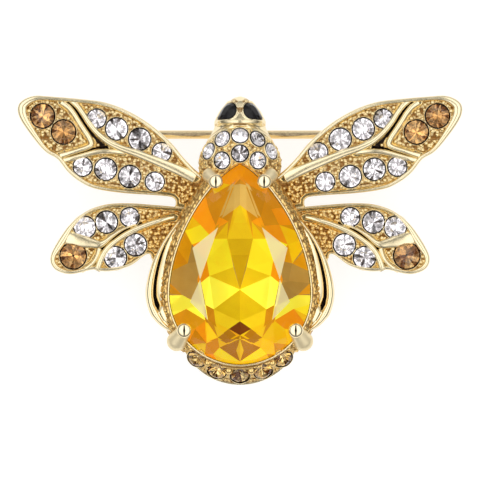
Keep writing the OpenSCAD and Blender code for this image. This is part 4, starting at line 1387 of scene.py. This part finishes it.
def side_bar():
    """A polished bar that bows along the cup, a groove with painted shade in it, and a smooth flank up to
    the grains. Bar and flank are quarter and half ellipses over walls; the groove closes towards both
    ends."""
    a, inner, outer = through(BAR, 12).T
    wide = np.interp(a, GROOVE_AT, GROOVE_WIDE)
    deep = np.minimum(1, wide / 0.2)
    middle = outer - (outer - inner) * np.interp(a, [-13, -8, -2], [0.72, 0.66, 0.58])
    far = middle + wide / 2
    near = middle - wide / 2
    t = np.linspace(0, np.pi, 17)
    crest = 5.3 + 0.62 * np.minimum(1, outer - inner)
    shelf = crest - 0.30 * (0.4 + 0.6 * deep)
    bar_out = outer[:, None] - (outer - far)[:, None] * 0.5 * (1 - np.cos(t))
    bar_top = BAR_Z + (crest - BAR_Z)[:, None] * np.sin(t) ** 0.8
    bar_top = np.where(t > np.pi / 2, np.maximum(bar_top, (shelf - 0.5 * deep)[:, None]), bar_top)
    q = np.linspace(0, np.pi / 2, 9)
    flank_out = near[:, None] - (near - inner)[:, None] * np.sin(q)
    flank_top = (shelf - 0.25 * deep)[:, None] + (0.25 * deep + 0.05)[:, None] * np.sin(q) ** 0.8
    out = np.column_stack([bar_out, far, near, flank_out, inner, outer])
    floor = shelf - 0.9 * deep
    foot = np.full(len(a), BAR_FOOT_Z)
    top = np.column_stack([bar_top, floor, floor, flank_top, foot, foot])
    flat = beside_pear(np.repeat(a, out.shape[1]), out.ravel()).reshape(out.shape + (2,))
    slots = [3] * 16 + [2, 2, 2] + [3] * 11
    return loft(np.concatenate([flat, top[..., None]], -1), slots=slots)


# %% The tail's form
TAIL_SLOPE = math.radians(52.07)
TAIL_TOP_Z = 6.2
TAIL_END = 46
TAIL_STONES = np.array([0, -16.6, 16.6, -33.5, 33.5])
TAIL_R = 0.82
TAIL_TILT = math.radians(38)


def reach_at(a):
    """How far the crescent reaches out of the pear: 1.87 (1 - 0.63 (a / TAIL_END)^2) at a turn a."""
    return 1.87 * (1 - 0.63 * (a / TAIL_END) ** 2)


def tail_height(out, top=TAIL_TOP_Z):
    """The height of the sloping face at a distance out of the pear."""
    return top - math.tan(TAIL_SLOPE) * out


def tail_point(a, out, z):
    """A point of the crescent: a turn from straight down, a distance out of the pear and a height."""
    r = GEM_R + out
    return np.stack([r * np.sin(np.radians(a)), GEM_Y - r * np.cos(np.radians(a)), z], -1)


TAIL_STONE_LIFT = 0.22
tail_turn = np.radians(TAIL_STONES)
tail_out = 0.57 * reach_at(TAIL_STONES)
tail_at = tail_point(TAIL_STONES, tail_out, tail_height(tail_out)) + [0, 0, TAIL_STONE_LIFT]
tail_way = np.stack([
    math.sin(TAIL_TILT) * np.sin(tail_turn), -math.sin(TAIL_TILT) * np.cos(tail_turn),
    np.full(len(tail_turn), math.cos(TAIL_TILT))
], -1)
print("tail stones:", len(tail_at), "the middle one at", tail_at[0].round(2))


# %% The tail's crescent
LINE_AT = 0.17
RIDGE_AT = 0.225


def tail_shell():
    """The crescent: a sloping face from the cup's rim down to an outer edge that turns under, with a
    dark line of painted shade and a bright ridge along its top. Under each stone the face is hollow,
    with painted shade on it."""
    count = 320
    a = np.linspace(-TAIL_END, TAIL_END, count)
    share = np.linspace(0.05, 0.97, 80)
    out = share[:, None] * reach_at(a)[None, :]
    turn = np.broadcast_to(a, out.shape)
    down = tail_point(turn, out, tail_height(out))
    bump = two_grains(down[..., 0], out * 1.7, FINE_GRAINS, (51, 52))
    from_stones = down[:, :, None] - tail_at
    axial = (from_stones * tail_way).sum(-1)
    radial = np.linalg.norm(from_stones - axial[..., None] * tail_way, axis=-1)
    own = radial.argmin(-1)[..., None]
    clear = np.take_along_axis(radial, own, -1)[..., 0] - TAIL_R
    axial = np.take_along_axis(axial, own, -1)[..., 0]
    calm = (ease(share, 0.20, 0.26) * (1 - ease(share, 0.92, 0.97)))[:, None] * ease(clear, 0.06, 0.13)
    sunk = 1 - ease(clear, 0.03, 0.11)
    ridge = 0.12 * bump_at(share - RIDGE_AT, 0.04)[:, None]
    lift = 0.16 * bump * calm + ridge * (1 - sunk)
    cut = np.clip(axial + 0.2 + STONE_PAVILION * np.clip(-clear, 0, None), 0, None) * sunk
    raised = out + lift * math.sin(TAIL_SLOPE)
    face = tail_point(turn, raised, down[..., 2] + lift * math.cos(TAIL_SLOPE))
    face = face - cut[..., None] * tail_way[own[..., 0]]
    # deep is painted shade between the grains, and along LINE_AT a dark line of painted shade.
    deep = np.clip((0.85 - bump) / 0.6, 0, 1) * calm
    deep = np.maximum(deep, bump_at(share - LINE_AT, 0.055)[:, None])
    reach = reach_at(a)
    low = TAIL_TOP_Z - math.tan(TAIL_SLOPE) * 0.97 * reach
    level = np.ones(count)
    edge = np.stack([
        tail_point(a, reach + 0.03, low + 0.05), tail_point(a, reach + 0.08, low - 0.08),
        tail_point(a, reach + 0.04, low - 0.26), tail_point(a, reach - 0.25, low - 0.75),
        tail_point(a, 0.3 * level, 4.0 * level), tail_point(a, 0.12 * level, 5.9 * level)
    ])
    plain = np.zeros((len(edge), count))
    made = loft(np.concatenate([face, edge]).transpose(1, 0, 2), deep=np.vstack([deep, plain]).T)
    quads = made.blocks[0][0]
    strips = grid_rows(count, len(share) + len(edge), wrap=True)
    # Faces sunk under a stone take the third finish, painted shade.
    dark = np.vstack([sunk, plain]).T.ravel()[strips].mean(1) > 0.4
    smooth = (strips % (len(share) + len(edge))).max(1) >= len(share)
    made.blocks = [
        (quads[~dark & ~smooth], 0, True), (quads[dark & ~smooth], 2, True), (quads[smooth], 1, True)
    ] + made.blocks[1:]
    return made


# %% The tail's beads
# Each row: share of the way down the face, radius, turns.
TAIL_BEADS = [
    [0.37, 0.38, [-25, -8.3, 8.3, 25]], [0.66, 0.17, [-25.5, -24, -9, -7.5, 7.5, 9, 24, 25.5]],
    [0.85, 0.16, [-42, -26, -24, -9.5, -7, 7, 9.5, 24, 26, 42]], [0.4, 0.22, [-41.5, 41.5]]
]


def tail_beads():
    """Beads along the crescent, above and between its stones."""
    luck = np.random.default_rng(61)
    places = []
    sizes = []
    for share, size, turns in TAIL_BEADS:
        a = np.array(turns, float)
        out = share * reach_at(a)
        places.append(tail_point(a, out, tail_height(out, TAIL_TOP_Z + 0.05)))
        sizes.append(size * luck.uniform(0.9, 1.1, len(a)))
    return beads(np.vstack(places), np.concatenate(sizes), sides=12, rings=5)


# %% Put the setting and the tail's stones down
bar = side_bar()
setting = [cup_shell(), tail_shell(), tail_beads()]
polished = [collar(p, TAIL_R, way, depth=0.3).next_finish() for p, way in zip(tail_at, tail_way)]
polished += [bar, bar.mirrored()]
finishes = [grained_gold, polished_gold, pocket_painted_shade, mirror_gold]
setting_piece = put_down("cup_bars_and_tail", setting + polished, finishes)
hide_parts("body_casting")

# Levels and shares of the tail stones' painted reflections, with more dark ones.
TAIL_FACET_REFLECTIONS = [[1, 0.7, 0.3, 0], [0.36, 0.16, 0.18, 0.30]]
luck = np.random.default_rng(6)
cut = [small_stone(p, TAIL_R, way, luck) for p, way in zip(tail_at, tail_way)]
tail_foil = foil("tail_foil", (1.0, 0.90, 0.50), (0.82, 0.56, 0.22), (0.12, 0.045, 0.012), 0.06)
cut_tail_stones = put_down("cut_tail_stones", cut, [topaz_glass, tail_foil])
paint_facet_reflections(cut_tail_stones, luck, *TAIL_FACET_REFLECTIONS)
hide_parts("tail_stones")

# %% [markdown]
# ## Prongs
# Four prongs hold the stone. Each is a stout thumb that rises outside the cup, leans in over the
# girdle and ends in a flattened ball, with a crease where the ball was formed. So each is three
# rounded bodies that run into one another: the polished ball, and the satin thumb and post under it.

# %% Thumbs and balls
THUMB_SIDES = 40


def round_ended(first, last, first_r, last_r):
    """A body of circles between two balls: along the axis the radius is that of the nearer ball at the
    ends, r = R sqrt(1 - t^2), and changes evenly between them."""
    first, last = np.asarray(first, float), np.asarray(last, float)
    way = unit(last - first)
    t = np.sin(np.linspace(-np.pi / 2, 0, 14))[1:]
    ends = np.sqrt(1 - t**2)
    places = np.vstack([first + t[:, None] * first_r * way, last - t[::-1, None] * last_r * way])
    radii = np.concatenate([first_r * ends, last_r * ends[::-1]])
    u = unit(np.cross(way, [0.3, 1.0, 0.2]))
    v = np.cross(way, u)
    a = 2 * np.pi * np.arange(THUMB_SIDES) / THUMB_SIDES
    rings = places[:, None] + radii[:, None, None] * (np.cos(a)[:, None] * u + np.sin(a)[:, None] * v)
    return loft(rings, smooth_ends=True)


# %% Put the prongs down
# Each row: x and y of the ball, the knee's place from there, the ball's height over the girdle, and the
# thickness.
PRONGS = [[2.18, 5.26, 0.52, 0.56, 0.94, 0.70], [5.03, -8.16, 0.68, -0.98, 0.95, 0.90]]
BALL_R = 0.68
BALL_FLAT = 0.55
KNEE_Z = 6.4


def flattened_ball(centre):
    """A ball pressed flat: z = BALL_FLAT R sqrt(1 - (r / R)^2.4), above and below its middle."""
    ball = round_ended([0, 0, -0.01], [0, 0, 0.01], BALL_R, BALL_R)
    level = np.hypot(ball.points[:, 0], ball.points[:, 1]) / BALL_R
    half = BALL_FLAT * BALL_R * np.sqrt(np.clip(1 - level**2.4, 0, 1))
    ball.points[:, 2] = np.sign(ball.points[:, 2]) * half
    ball.points = ball.points + centre
    return ball


prongs = []
for x, y, aside, along, height, thick in PRONGS:
    ball = np.array([x, y, GIRDLE_Z + 0.05 + height * 1.16])
    knee = np.array([x + aside, y + along, KNEE_Z])
    neck = ball - [0, 0, 0.42] + 0.10 * (knee - ball)
    made = [
        flattened_ball(ball + [0, 0, 0.12]), round_ended(neck, knee, 0.74 * thick, thick).next_finish(),
        round_ended(knee - [0, 0, 1.9], knee - [0, 0, 0.3], 0.9 * thick, 0.9 * thick).next_finish()
    ]
    prongs += made + [shell.mirrored() for shell in made]
four_prongs = put_down("prongs", prongs, [mirror_gold, satin_gold])
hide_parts("body_casting")

# %% [markdown]
# ## The big stone
# The stone is a pear-shaped brilliant of golden yellow glass. What the eye reads as its colours are
# the facets of its pavilion, seen through the flat table: a pale arrowhead above, a tall kite in bands
# down to the culet, two bright lozenges across the middle and a small dark diamond below. Only a cut
# with those facets gives that picture, so the pavilion is laid out facet by facet, in shares of the
# pear. Each facet gets a tint of its own, a painted reflection of the light and dark that a real
# foiled facet catches by how it is tilted.

# %% The crown's corners
# Corners of the table and breaks of the crown down the right side, as shares of the pear.
TABLE = [[0.105, 0.825], [0.31, 0.514], [0.565, 0.11], [0.457, -0.37], [0.13, -0.64]]
BREAKS = [[0, 0.93], [0.37, 0.70], [0.675, 0.355], [0.71, -0.115], [0.50, -0.68], [0, -0.80]]
BREAK_Z = GIRDLE_Z + 0.55 * CROWN
TABLE_Z = GIRDLE_Z + CROWN
GIRDLE_DIP = 0.15


def in_gem(p, z=None):
    """Shares of the pear's half width and of its height above or below its centre, as a place."""
    p = np.asarray(p, float)
    up = np.where(p[..., 1] > 0, GEM_RISE, GEM_R)
    flat = np.stack([p[..., 0] * GEM_R, GEM_Y + p[..., 1] * up], -1)
    return flat if z is None else np.concatenate([flat, np.full(flat.shape[:-1] + (1,), z)], -1)


def all_round(right):
    """Shares listed down the right side, followed by their mirror images up the left side."""
    right = np.array(right, float)
    left = right[::-1] * [-1, 1]
    return np.vstack([right, left[np.abs(left[:, 0]) > 0]])


# %% Facets of the pavilion, named by their corners
SPOTS = {
    "side_hi": [0.098, 0.550], "side_lo": [0.126, 0.300], "cap": [0, 0.878],
    "culet": [0, 0.029], "apex": [0, 0.689], "side": [0.185, 0.426], "top": [0, 0.835],
    "table_1": [0.088, 0.825], "arm_in": [0.090, 0.649], "arm_out": [0.258, 0.586],
    "patch": [0.168, 0.559], "table_2": [0.31, 0.514], "edge_1": [0.365, 0.426],
    "edge_2": [0.474, 0.256], "mid": [0.094, 0.205], "shoulder": [0.438, 0.136],
    "table_3": [0.565, 0.110], "edge_3": [0.555, 0.085], "edge_4": [0.490, -0.163],
    "hip": [0.374, -0.225], "table_4": [0.457, -0.370], "knee": [0.350, -0.420], "navel": [0, -0.397],
    "gem_side": [0.159, -0.506], "foot": [0, -0.594], "wing_tip": [0.300, -0.607],
    "lower_tip": [0.284, -0.743], "notch": [0.057, -0.598], "rib": [0.180, -0.670],
    "ray": [0.050, -0.780], "base": [0, -0.958], "yolk": [0.374, -0.846], "yolk_low": [0.243, -0.921],
    "crown_1": [0.221, 0.906], "crown_2": [0.356, 0.768], "crown_3": [0.430, 0.651],
    "crown_4": [0.543, 0.528], "crown_5": [0.659, 0.375], "crown_6": [0.720, 0.232],
    "crown_7": [0.659, 0.100], "crown_8": [0.805, -0.023], "crown_9": [0.749, -0.210],
    "crown_10": [0.618, -0.490], "crown_11": [0.468, -0.678]
}
FACETS = [
    [["top", "table_1", "arm_out", "arm_in", "apex"], "khaki"],
    [["top", "cap", "table_1"], "rust"],
    [["apex", "side_hi", "-side_hi"], "corn"],
    [["side_hi", "side", "-side", "-side_hi"], "corn_low"],
    [["side", "side_lo", "-side_lo", "-side"], "olive_high"],
    [["side_lo", "culet", "-side_lo"], "olive_gold"],
    [["apex", "arm_in", "side"], "gold"], [["arm_in", "patch", "side"], "amber"],
    [["arm_in", "arm_out", "patch"], "rust"], [["arm_out", "table_2", "patch"], "orange"],
    [["table_2", "edge_1", "patch"], "amber"], [["patch", "edge_1", "side"], "gold"],
    [["side", "edge_1", "edge_2", "shoulder", "mid"], "sun"], [["mid", "shoulder", "culet"], "honey"],
    [["edge_2", "table_3", "edge_3", "shoulder"], "orange"],
    [["culet", "shoulder", "edge_3", "edge_4", "hip"], "lemon"],
    [["edge_4", "table_4", "knee", "hip"], "rust"],
    [["culet", "hip", "knee", "gem_side", "navel"], "deep_honey"],
    [["navel", "gem_side", "foot"], "umber"],
    [["knee", "gem_side", "wing_tip"], "gold"], [["table_4", "knee", "wing_tip"], "amber"],
    [["gem_side", "notch", "rib", "wing_tip"], "brown"],
    [["notch", "foot", "lower_tip", "wing_tip", "rib"], "gold"],
    [["foot", "ray", "base"], "corn"], [["foot", "lower_tip", "base", "ray"], "brown"],
    [["lower_tip", "base", "yolk_low", "yolk"], "sun"]
]

# %% Tints of the facets, each a painted reflection
REFLECTION_TINTS = {
    "khaki": (0.66, 0.44, 0.11), "sun": (0.92, 0.80, 0.018), "corn": (0.74, 0.52, 0.008),
    "corn_low": (0.70, 0.48, 0.005), "olive_high": (0.64, 0.42, 0.003),
    "olive_gold": (0.58, 0.36, 0.001), "gold": (0.80, 0.53, 0.005), "honey": (0.77, 0.57, 0.006),
    "deep_honey": (0.68, 0.50, 0.002), "amber": (0.60, 0.29, 0.004), "orange": (0.90, 0.34, 0.004),
    "rust": (0.60, 0.26, 0.004), "lemon": (1.0, 1.0, 0.07), "umber": (0.17, 0.043, 0.001),
    "brown": (0.42, 0.19, 0.005), "mauve": (0.40, 0.25, 0.06)
}
# Outside the named facets a tint, a painted reflection too, is drawn from a list, by the least share
# of the pear's height.
OUTER = [
    (0.80, ["orange", "gold", "orange", "amber"]),
    (0.50, ["amber", "rust", "rust", "orange", "gold", "brown"]),
    (0.30, ["gold", "amber", "orange", "sun"]), (-0.02, ["mauve", "mauve", "rust", "amber"]),
    (-0.28, ["lemon", "lemon", "lemon", "sun"]), (-0.62, ["orange", "amber", "orange", "gold"]),
    (-2.00, ["amber", "rust", "honey", "amber", "orange", "gold"])
]


def pavilion_height(flat):
    """The pavilion's height: it falls from the girdle by its depth times (1 - share)^0.92, where share
    is the way from the culet to the edge."""
    culet = in_gem(SPOTS["culet"])
    edge = pear_ring(1440)[:, :2] - culet
    turn = np.arctan2(edge[:, 1], edge[:, 0])
    order = np.argsort(turn)
    way = flat - culet
    far = np.linalg.norm(edge, axis=1)[order]
    reach = np.interp(np.arctan2(way[:, 1], way[:, 0]), turn[order], far, period=2 * np.pi)
    share = np.clip(np.linalg.norm(way, axis=1) / reach, 0, 1)
    return GIRDLE_Z - GIRDLE_T - (PAVILION - GIRDLE_T) * (1 - share) ** 0.92


print("named facets:", len(FACETS), "of", len(REFLECTION_TINTS), "tints")

# %% A tint for each triangle of the pavilion
SECTOR = 11
GIRDLE_BAND = 0.93


def reflection_tints(middle, polygons, luck):
    """A tint for each triangle, a painted reflection: that of the named facet it lies in, or one drawn
    for its region.
    """
    tint = np.zeros((len(middle), 3))
    named = np.zeros(len(middle), bool)
    for polygon, name, shade in polygons:
        inside = within(middle, polygon) & ~named
        tint[inside] = np.array(REFLECTION_TINTS[name]) * shade
        named |= inside
    high = (middle[:, 1] - GEM_Y) / np.where(middle[:, 1] > GEM_Y, GEM_RISE, GEM_R)
    far = np.linalg.norm(middle - [0, GEM_Y], axis=1)
    turn = np.arctan2(middle[:, 1] - GEM_Y, middle[:, 0])
    sector = np.floor(np.degrees(turn) / SECTOR).astype(int) + 100 * (far > GIRDLE_BAND * GEM_R)
    draws = luck.random((500, 2))
    for i in np.flatnonzero(~named):
        names = next(choices for least, choices in OUTER if high[i] > least)
        first, second = draws[sector[i] + 200]
        tint[i] = np.array(REFLECTION_TINTS[names[int(first * len(names))]]) * (0.85 + 0.3 * second)
    return tint


# %% The pavilion's mesh
from mathutils import Vector
from mathutils.geometry import delaunay_2d_cdt

GEM_EDGE_COUNT = 240
LEFT_SHADE = 0.84
gem_edge = pear_ring(GEM_EDGE_COUNT)[:, :2]


def pavilion_facets():
    """Corner places, triangles and tints of the pavilion: a Delaunay triangulation that keeps the edges
    of the named facets, whose corners stand on both sides of the stone. A name with a minus is the
    corner on the left, where each tint is a little darker, a painted shade."""
    flat = [list(p) for p in gem_edge]
    number = {}
    for name, spot in SPOTS.items():
        number[name] = number["-" + name] = len(flat)
        flat.append(in_gem(spot))
        if spot[0] > 0:
            number["-" + name] = len(flat)
            flat.append(in_gem([-spot[0], spot[1]]))
    flat = np.array(flat)
    rim = [(i, (i + 1) % GEM_EDGE_COUNT) for i in range(GEM_EDGE_COUNT)]
    edges = []
    polygons = []
    for names, tint in FACETS:
        for flip, shade in ((False, 1.0), (True, LEFT_SHADE)):
            swapped = [n[1:] if n.startswith("-") else "-" + n for n in names]
            ids = [number[n] for n in (swapped if flip else names)]
            edges += list(zip(ids, ids[1:] + ids[:1]))
            polygons.append((flat[ids], tint, shade))
    made = delaunay_2d_cdt([Vector(p) for p in flat], rim + edges, [], 0, 1e-7)
    points = np.array([list(p) for p in made[0]])
    rows = np.array([list(f) for f in made[2]])
    middle = points[rows].mean(1)
    keep = within(middle, gem_edge)
    rows, middle = rows[keep], middle[keep]
    low = np.column_stack([points, pavilion_height(points)])
    low[:GEM_EDGE_COUNT, 2] = GIRDLE_Z - GIRDLE_T
    return low, rows, reflection_tints(middle, polygons, np.random.default_rng(77))


# %% The crown's mesh
def nearest_edge(flat):
    """The number of the girdle's point nearest to each place."""
    return np.linalg.norm(gem_edge[None] - flat[:, None], axis=-1).argmin(1)


def between_edges(first, last):
    """The numbers of the girdle's points from one to another, clockwise seen from above."""
    steps = (first - last) % GEM_EDGE_COUNT
    return (first - np.arange(steps + 1)) % GEM_EDGE_COUNT


def crown_facets():
    """Corner places and faces of the crown, going clockwise: for each table edge a star and two halves
    that lie flat from the break to the girdle, and a kite at each table corner. The girdle's upper
    edge dips a little between corners, because flat facets meet a round outline there."""
    table = in_gem(all_round(TABLE), TABLE_Z)
    breaks = in_gem(all_round(BREAKS), BREAK_Z)
    n = len(table)
    under = nearest_edge(breaks[:, :2])
    turned = np.unwrap(-2 * np.pi * under / GEM_EDGE_COUNT) / (-2 * np.pi) * GEM_EDGE_COUNT
    once_round = np.where(np.arange(n) == n - 1, -GEM_EDGE_COUNT, 0)
    corner = np.rint((turned + np.roll(turned, -1) + once_round) / 2)
    corner = corner.astype(int) % GEM_EDGE_COUNT
    edge = np.column_stack([gem_edge, np.full(GEM_EDGE_COUNT, GIRDLE_Z)])
    halves = []
    for i in range(n):
        for first, last in ((corner[i - 1], under[i]), (under[i], corner[i])):
            ids = between_edges(first, last)
            a, b, c = breaks[i], edge[first], edge[last]
            normal = np.cross(b - a, c - a)
            inner = ids[1:-1]
            flat_z = a[2] - ((edge[inner, :2] - a[:2]) @ normal[:2]) / normal[2]
            edge[inner, 2] = np.clip(flat_z, GIRDLE_Z - GIRDLE_DIP, GIRDLE_Z)
            halves.append(np.concatenate([[n + i], 2 * n + ids]))
    i = np.arange(n)
    stars = np.stack([(i - 1) % n, i, n + i], -1)
    kites = np.concatenate([
        np.stack([i, 2 * n + corner, n + i], -1), np.stack([i, n + (i + 1) % n, 2 * n + corner], -1)
    ])
    return np.vstack([table, breaks, edge]), np.arange(n)[None, :], stars, kites, halves


# %% Finishes of the big stone
GOLDEN_GLOW = 0.54


def tinted_foil():
    """The pavilion seen from inside: each facet a mirror tinted with its painted reflection, with a little
    light of its own that stands for the many bounces between facets."""
    material, tree = new_finish("golden_foil")
    tint = tree.add("Attribute", {"attribute_name": "tint"}, {})["Color"]
    deep = tree.add("Mix", {"data_type": "RGBA", "blend_type": "MULTIPLY"}, {
        0: 1.0, 6: tint, 7: (0.88, 0.76, 0.6)
    })[2]
    colour = blend_colours(tree, noise(tree, 900.0, 3.0), tint, deep)
    one_shader(tree, {
        "Base Color": colour, "Metallic": 0.7, "Roughness": 0.3,
        "Emission Color": colour, "Emission Strength": GOLDEN_GLOW
    })
    return material


def painted_sheen_glass():
    """The crown's glass, with a painted pale sheen mixed in on the facets that face the light."""
    material, tree = new_finish("golden_glass")
    veil = tree.add("Attribute", {"attribute_name": "veil"}, {})["Fac"]
    clear = tree.add("BsdfPrincipled", {}, {
        "Base Color": (1.0, 0.98, 0.90), "Transmission Weight": 1.0, "IOR": 1.1, "Roughness": 0.0,
        "Coat Weight": 0.4, "Coat IOR": 1.5, "Coat Roughness": 0.0
    })["BSDF"]
    sheen = tree.add("BsdfPrincipled", {}, {"Base Color": (1.0, 0.86, 0.44), "Roughness": 0.4})["BSDF"]
    finish_with(tree, tree.add("MixShader", {}, {0: veil, 1: clear, 2: sheen})[0])
    return material


# %% Crown, girdle and pavilion in one shell
low, low_rows, tint = pavilion_facets()
high, table_face, stars, kites, halves = crown_facets()
k = np.arange(GEM_EDGE_COUNT)
after = (k + 1) % GEM_EDGE_COUNT
first_edge = len(high) - GEM_EDGE_COUNT
band = np.stack([first_edge + k, first_edge + after, len(high) + after, len(high) + k], -1)
blocks = [(rows, 0, False) for rows in (table_face, stars, kites)]
blocks += [(half[None, :], 0, False) for half in halves]
blocks += [(band, 1, False), (low_rows + len(high), 1, False)]
stone = Shell(np.vstack([high, low]), blocks)


def facing_out(points, rows, centre):
    """Faces turned so that each looks away from a centre: a face whose normal, the sum of the cross
    products of its neighbouring corners, points inwards is taken the other way round."""
    corners = points[rows]
    normal = np.cross(corners, np.roll(corners, -1, 1)).sum(1)
    outward = ((corners.mean(1) - centre) * normal).sum(-1) > 0
    return np.where(outward[:, None], rows, rows[:, ::-1])


gem_middle = np.array([0, 0, GIRDLE_Z - 0.1])
stone.blocks = [
    (facing_out(stone.points, rows, gem_middle), slot, flat) for rows, slot, flat in stone.blocks
]
print("faces of the big stone:", sum(len(rows) for rows, slot, flat in stone.blocks))

# %% Put the big stone down
# The painted sheen of each star facet of the crown, clockwise from the top.
STAR_SHEEN = [0.0, 0.0, 0.78, 0.70, 0.0, 0.0, 0.0, 0.74, 0.80, 0.0]
cut_centre_stone = put_down("cut_centre_stone", [stone], [painted_sheen_glass(), tinted_foil()])
veil = np.zeros(len(cut_centre_stone.data.polygons))
veil[1:1 + len(stars)] = STAR_SHEEN
lay_on(cut_centre_stone, "veil", "FLOAT", veil)
crown_count = len(veil) - len(band) - len(tint)
# The girdle's band takes the amber painted reflection; the crown reads no tint.
tints = np.vstack([np.ones((crown_count, 3)), np.tile(REFLECTION_TINTS["amber"], (len(band), 1)), tint])
lay_on(cut_centre_stone, "tint", "FLOAT_COLOR", tints)
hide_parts("centre_stone")

# %% [markdown]
# ## Eyes
# The eyes are black cut drops. Black glass is simply dark and very glossy, so what shows is how its
# facets lie. They are cut here over the head's own form: a fan of flat facets from a raised middle to
# the drop's outline, with a skirt that goes down into the seat.

# %% The cut of an eye
EYE_CORNERS = 24
EYE_MIDDLE = (0.98, 11.66)
EYE_INNER = 0.62


def over_head(flat, up):
    """Places of the head, given seen from above, raised along its normal."""
    across = np.clip(flat[:, 0] / half_width(flat[:, 1]), -SIDE_MOST, SIDE_MOST)
    return on_body(across, flat[:, 1]) + up * out_of_body(across, flat[:, 1])


def eye_shell():
    """A cut drop laid on the head: its outline, a ring at EYE_INNER of the way out, raised along the
    body's normal, and a raised middle, joined by flat facets over a skirt that goes into the seat."""
    outline = evenly(np.vstack([EYE_OUTLINE, EYE_OUTLINE[:1]]), EYE_CORNERS + 1)[:-1]
    middle = np.array([EYE_MIDDLE])
    inner = middle + EYE_INNER * (outline[::2] - middle)
    points = np.vstack([
        over_head(outline, -0.30), over_head(outline, 0.01), over_head(inner, 0.18), over_head(middle, 0.23)
    ])
    n = len(outline)
    m = len(inner)
    i = np.arange(n)
    j = np.arange(m)
    after = (j + 1) % m
    blocks = [
        (np.stack([i, (i + 1) % n, n + (i + 1) % n, n + i], -1), 0, False),
        (np.stack([n + 2 * j, n + 2 * j + 1, 2 * n + j], -1), 0, False),
        (np.stack([n + 2 * j + 1, n + (2 * j + 2) % n, 2 * n + after], -1), 0, False),
        (np.stack([n + 2 * j + 1, 2 * n + after, 2 * n + j], -1), 0, False),
        (np.stack([2 * n + j, 2 * n + after, np.full(m, 2 * n + m)], -1), 0, False),
        (i[None, ::-1], 0, False)
    ]
    return Shell(points, blocks).outward()


# %% Put the eyes down
def black_crystal():
    """Black glass: dark, glossy, hardly uneven."""
    material, tree = new_finish("black_crystal")
    colour = blend_colours(tree, noise(tree, 900.0, 2.0), (0.004, 0.004, 0.005), (0.02, 0.018, 0.018))
    one_shader(tree, {"Base Color": colour, "Roughness": 0.03, "IOR": 1.32})
    return material


eye_black = black_crystal()
eye = eye_shell()
for side, shell in (("right", eye), ("left", eye.mirrored())):
    piece = put_down(f"cut_eye_{side}", [shell], [eye_black])
    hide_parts(f"eye_{side}")

# %% [markdown]
# ## The pin on the back
# The pin, its hinge and its catch are plain parts. Their solids are already right, so they keep their
# shapes and only get their metals: a bright drawn wire for the pin, duller plate for the rest.

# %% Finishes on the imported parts
DRESSED = [
    ["hinge_bracket", plain_gold], ["hinge_rivet", plain_gold], ["catch", plain_gold],
    ["pin_stem", wire_gold]
]
for node, material in DRESSED:
    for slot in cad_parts[node].material_slots:
        slot.material = material
    print(node, "wears", material.name)

# %% [markdown]
# ## Table
# The photograph's floor is plain white, as on a light table. So the table is one wide flat face that
# gives a little light of its own, just under the brooch.

# %% The table
TABLE_REACH = 1.5
TABLE_DROP = 0.00002


def white_table():
    """A wide white floor, lit a little from below as on a light table."""
    material, tree = new_finish("white_table")
    one_shader(tree, {
        "Base Color": (0.35, 0.35, 0.35), "Roughness": 0.7,
        "Emission Color": (1.0, 1.0, 1.0), "Emission Strength": 0.76
    })
    mesh = bpy.data.meshes.new("table")
    corners = [(x * TABLE_REACH, y * TABLE_REACH, 0) for x, y in ((-1, -1), (1, -1), (1, 1), (-1, 1))]
    mesh.from_pydata(corners, [], [(0, 1, 2, 3)])
    mesh.materials.append(material)
    table = bpy.data.objects.new("table", mesh)
    table.location = (0, 0, -TABLE_DROP)
    scene.collection.objects.link(table)


white_table()
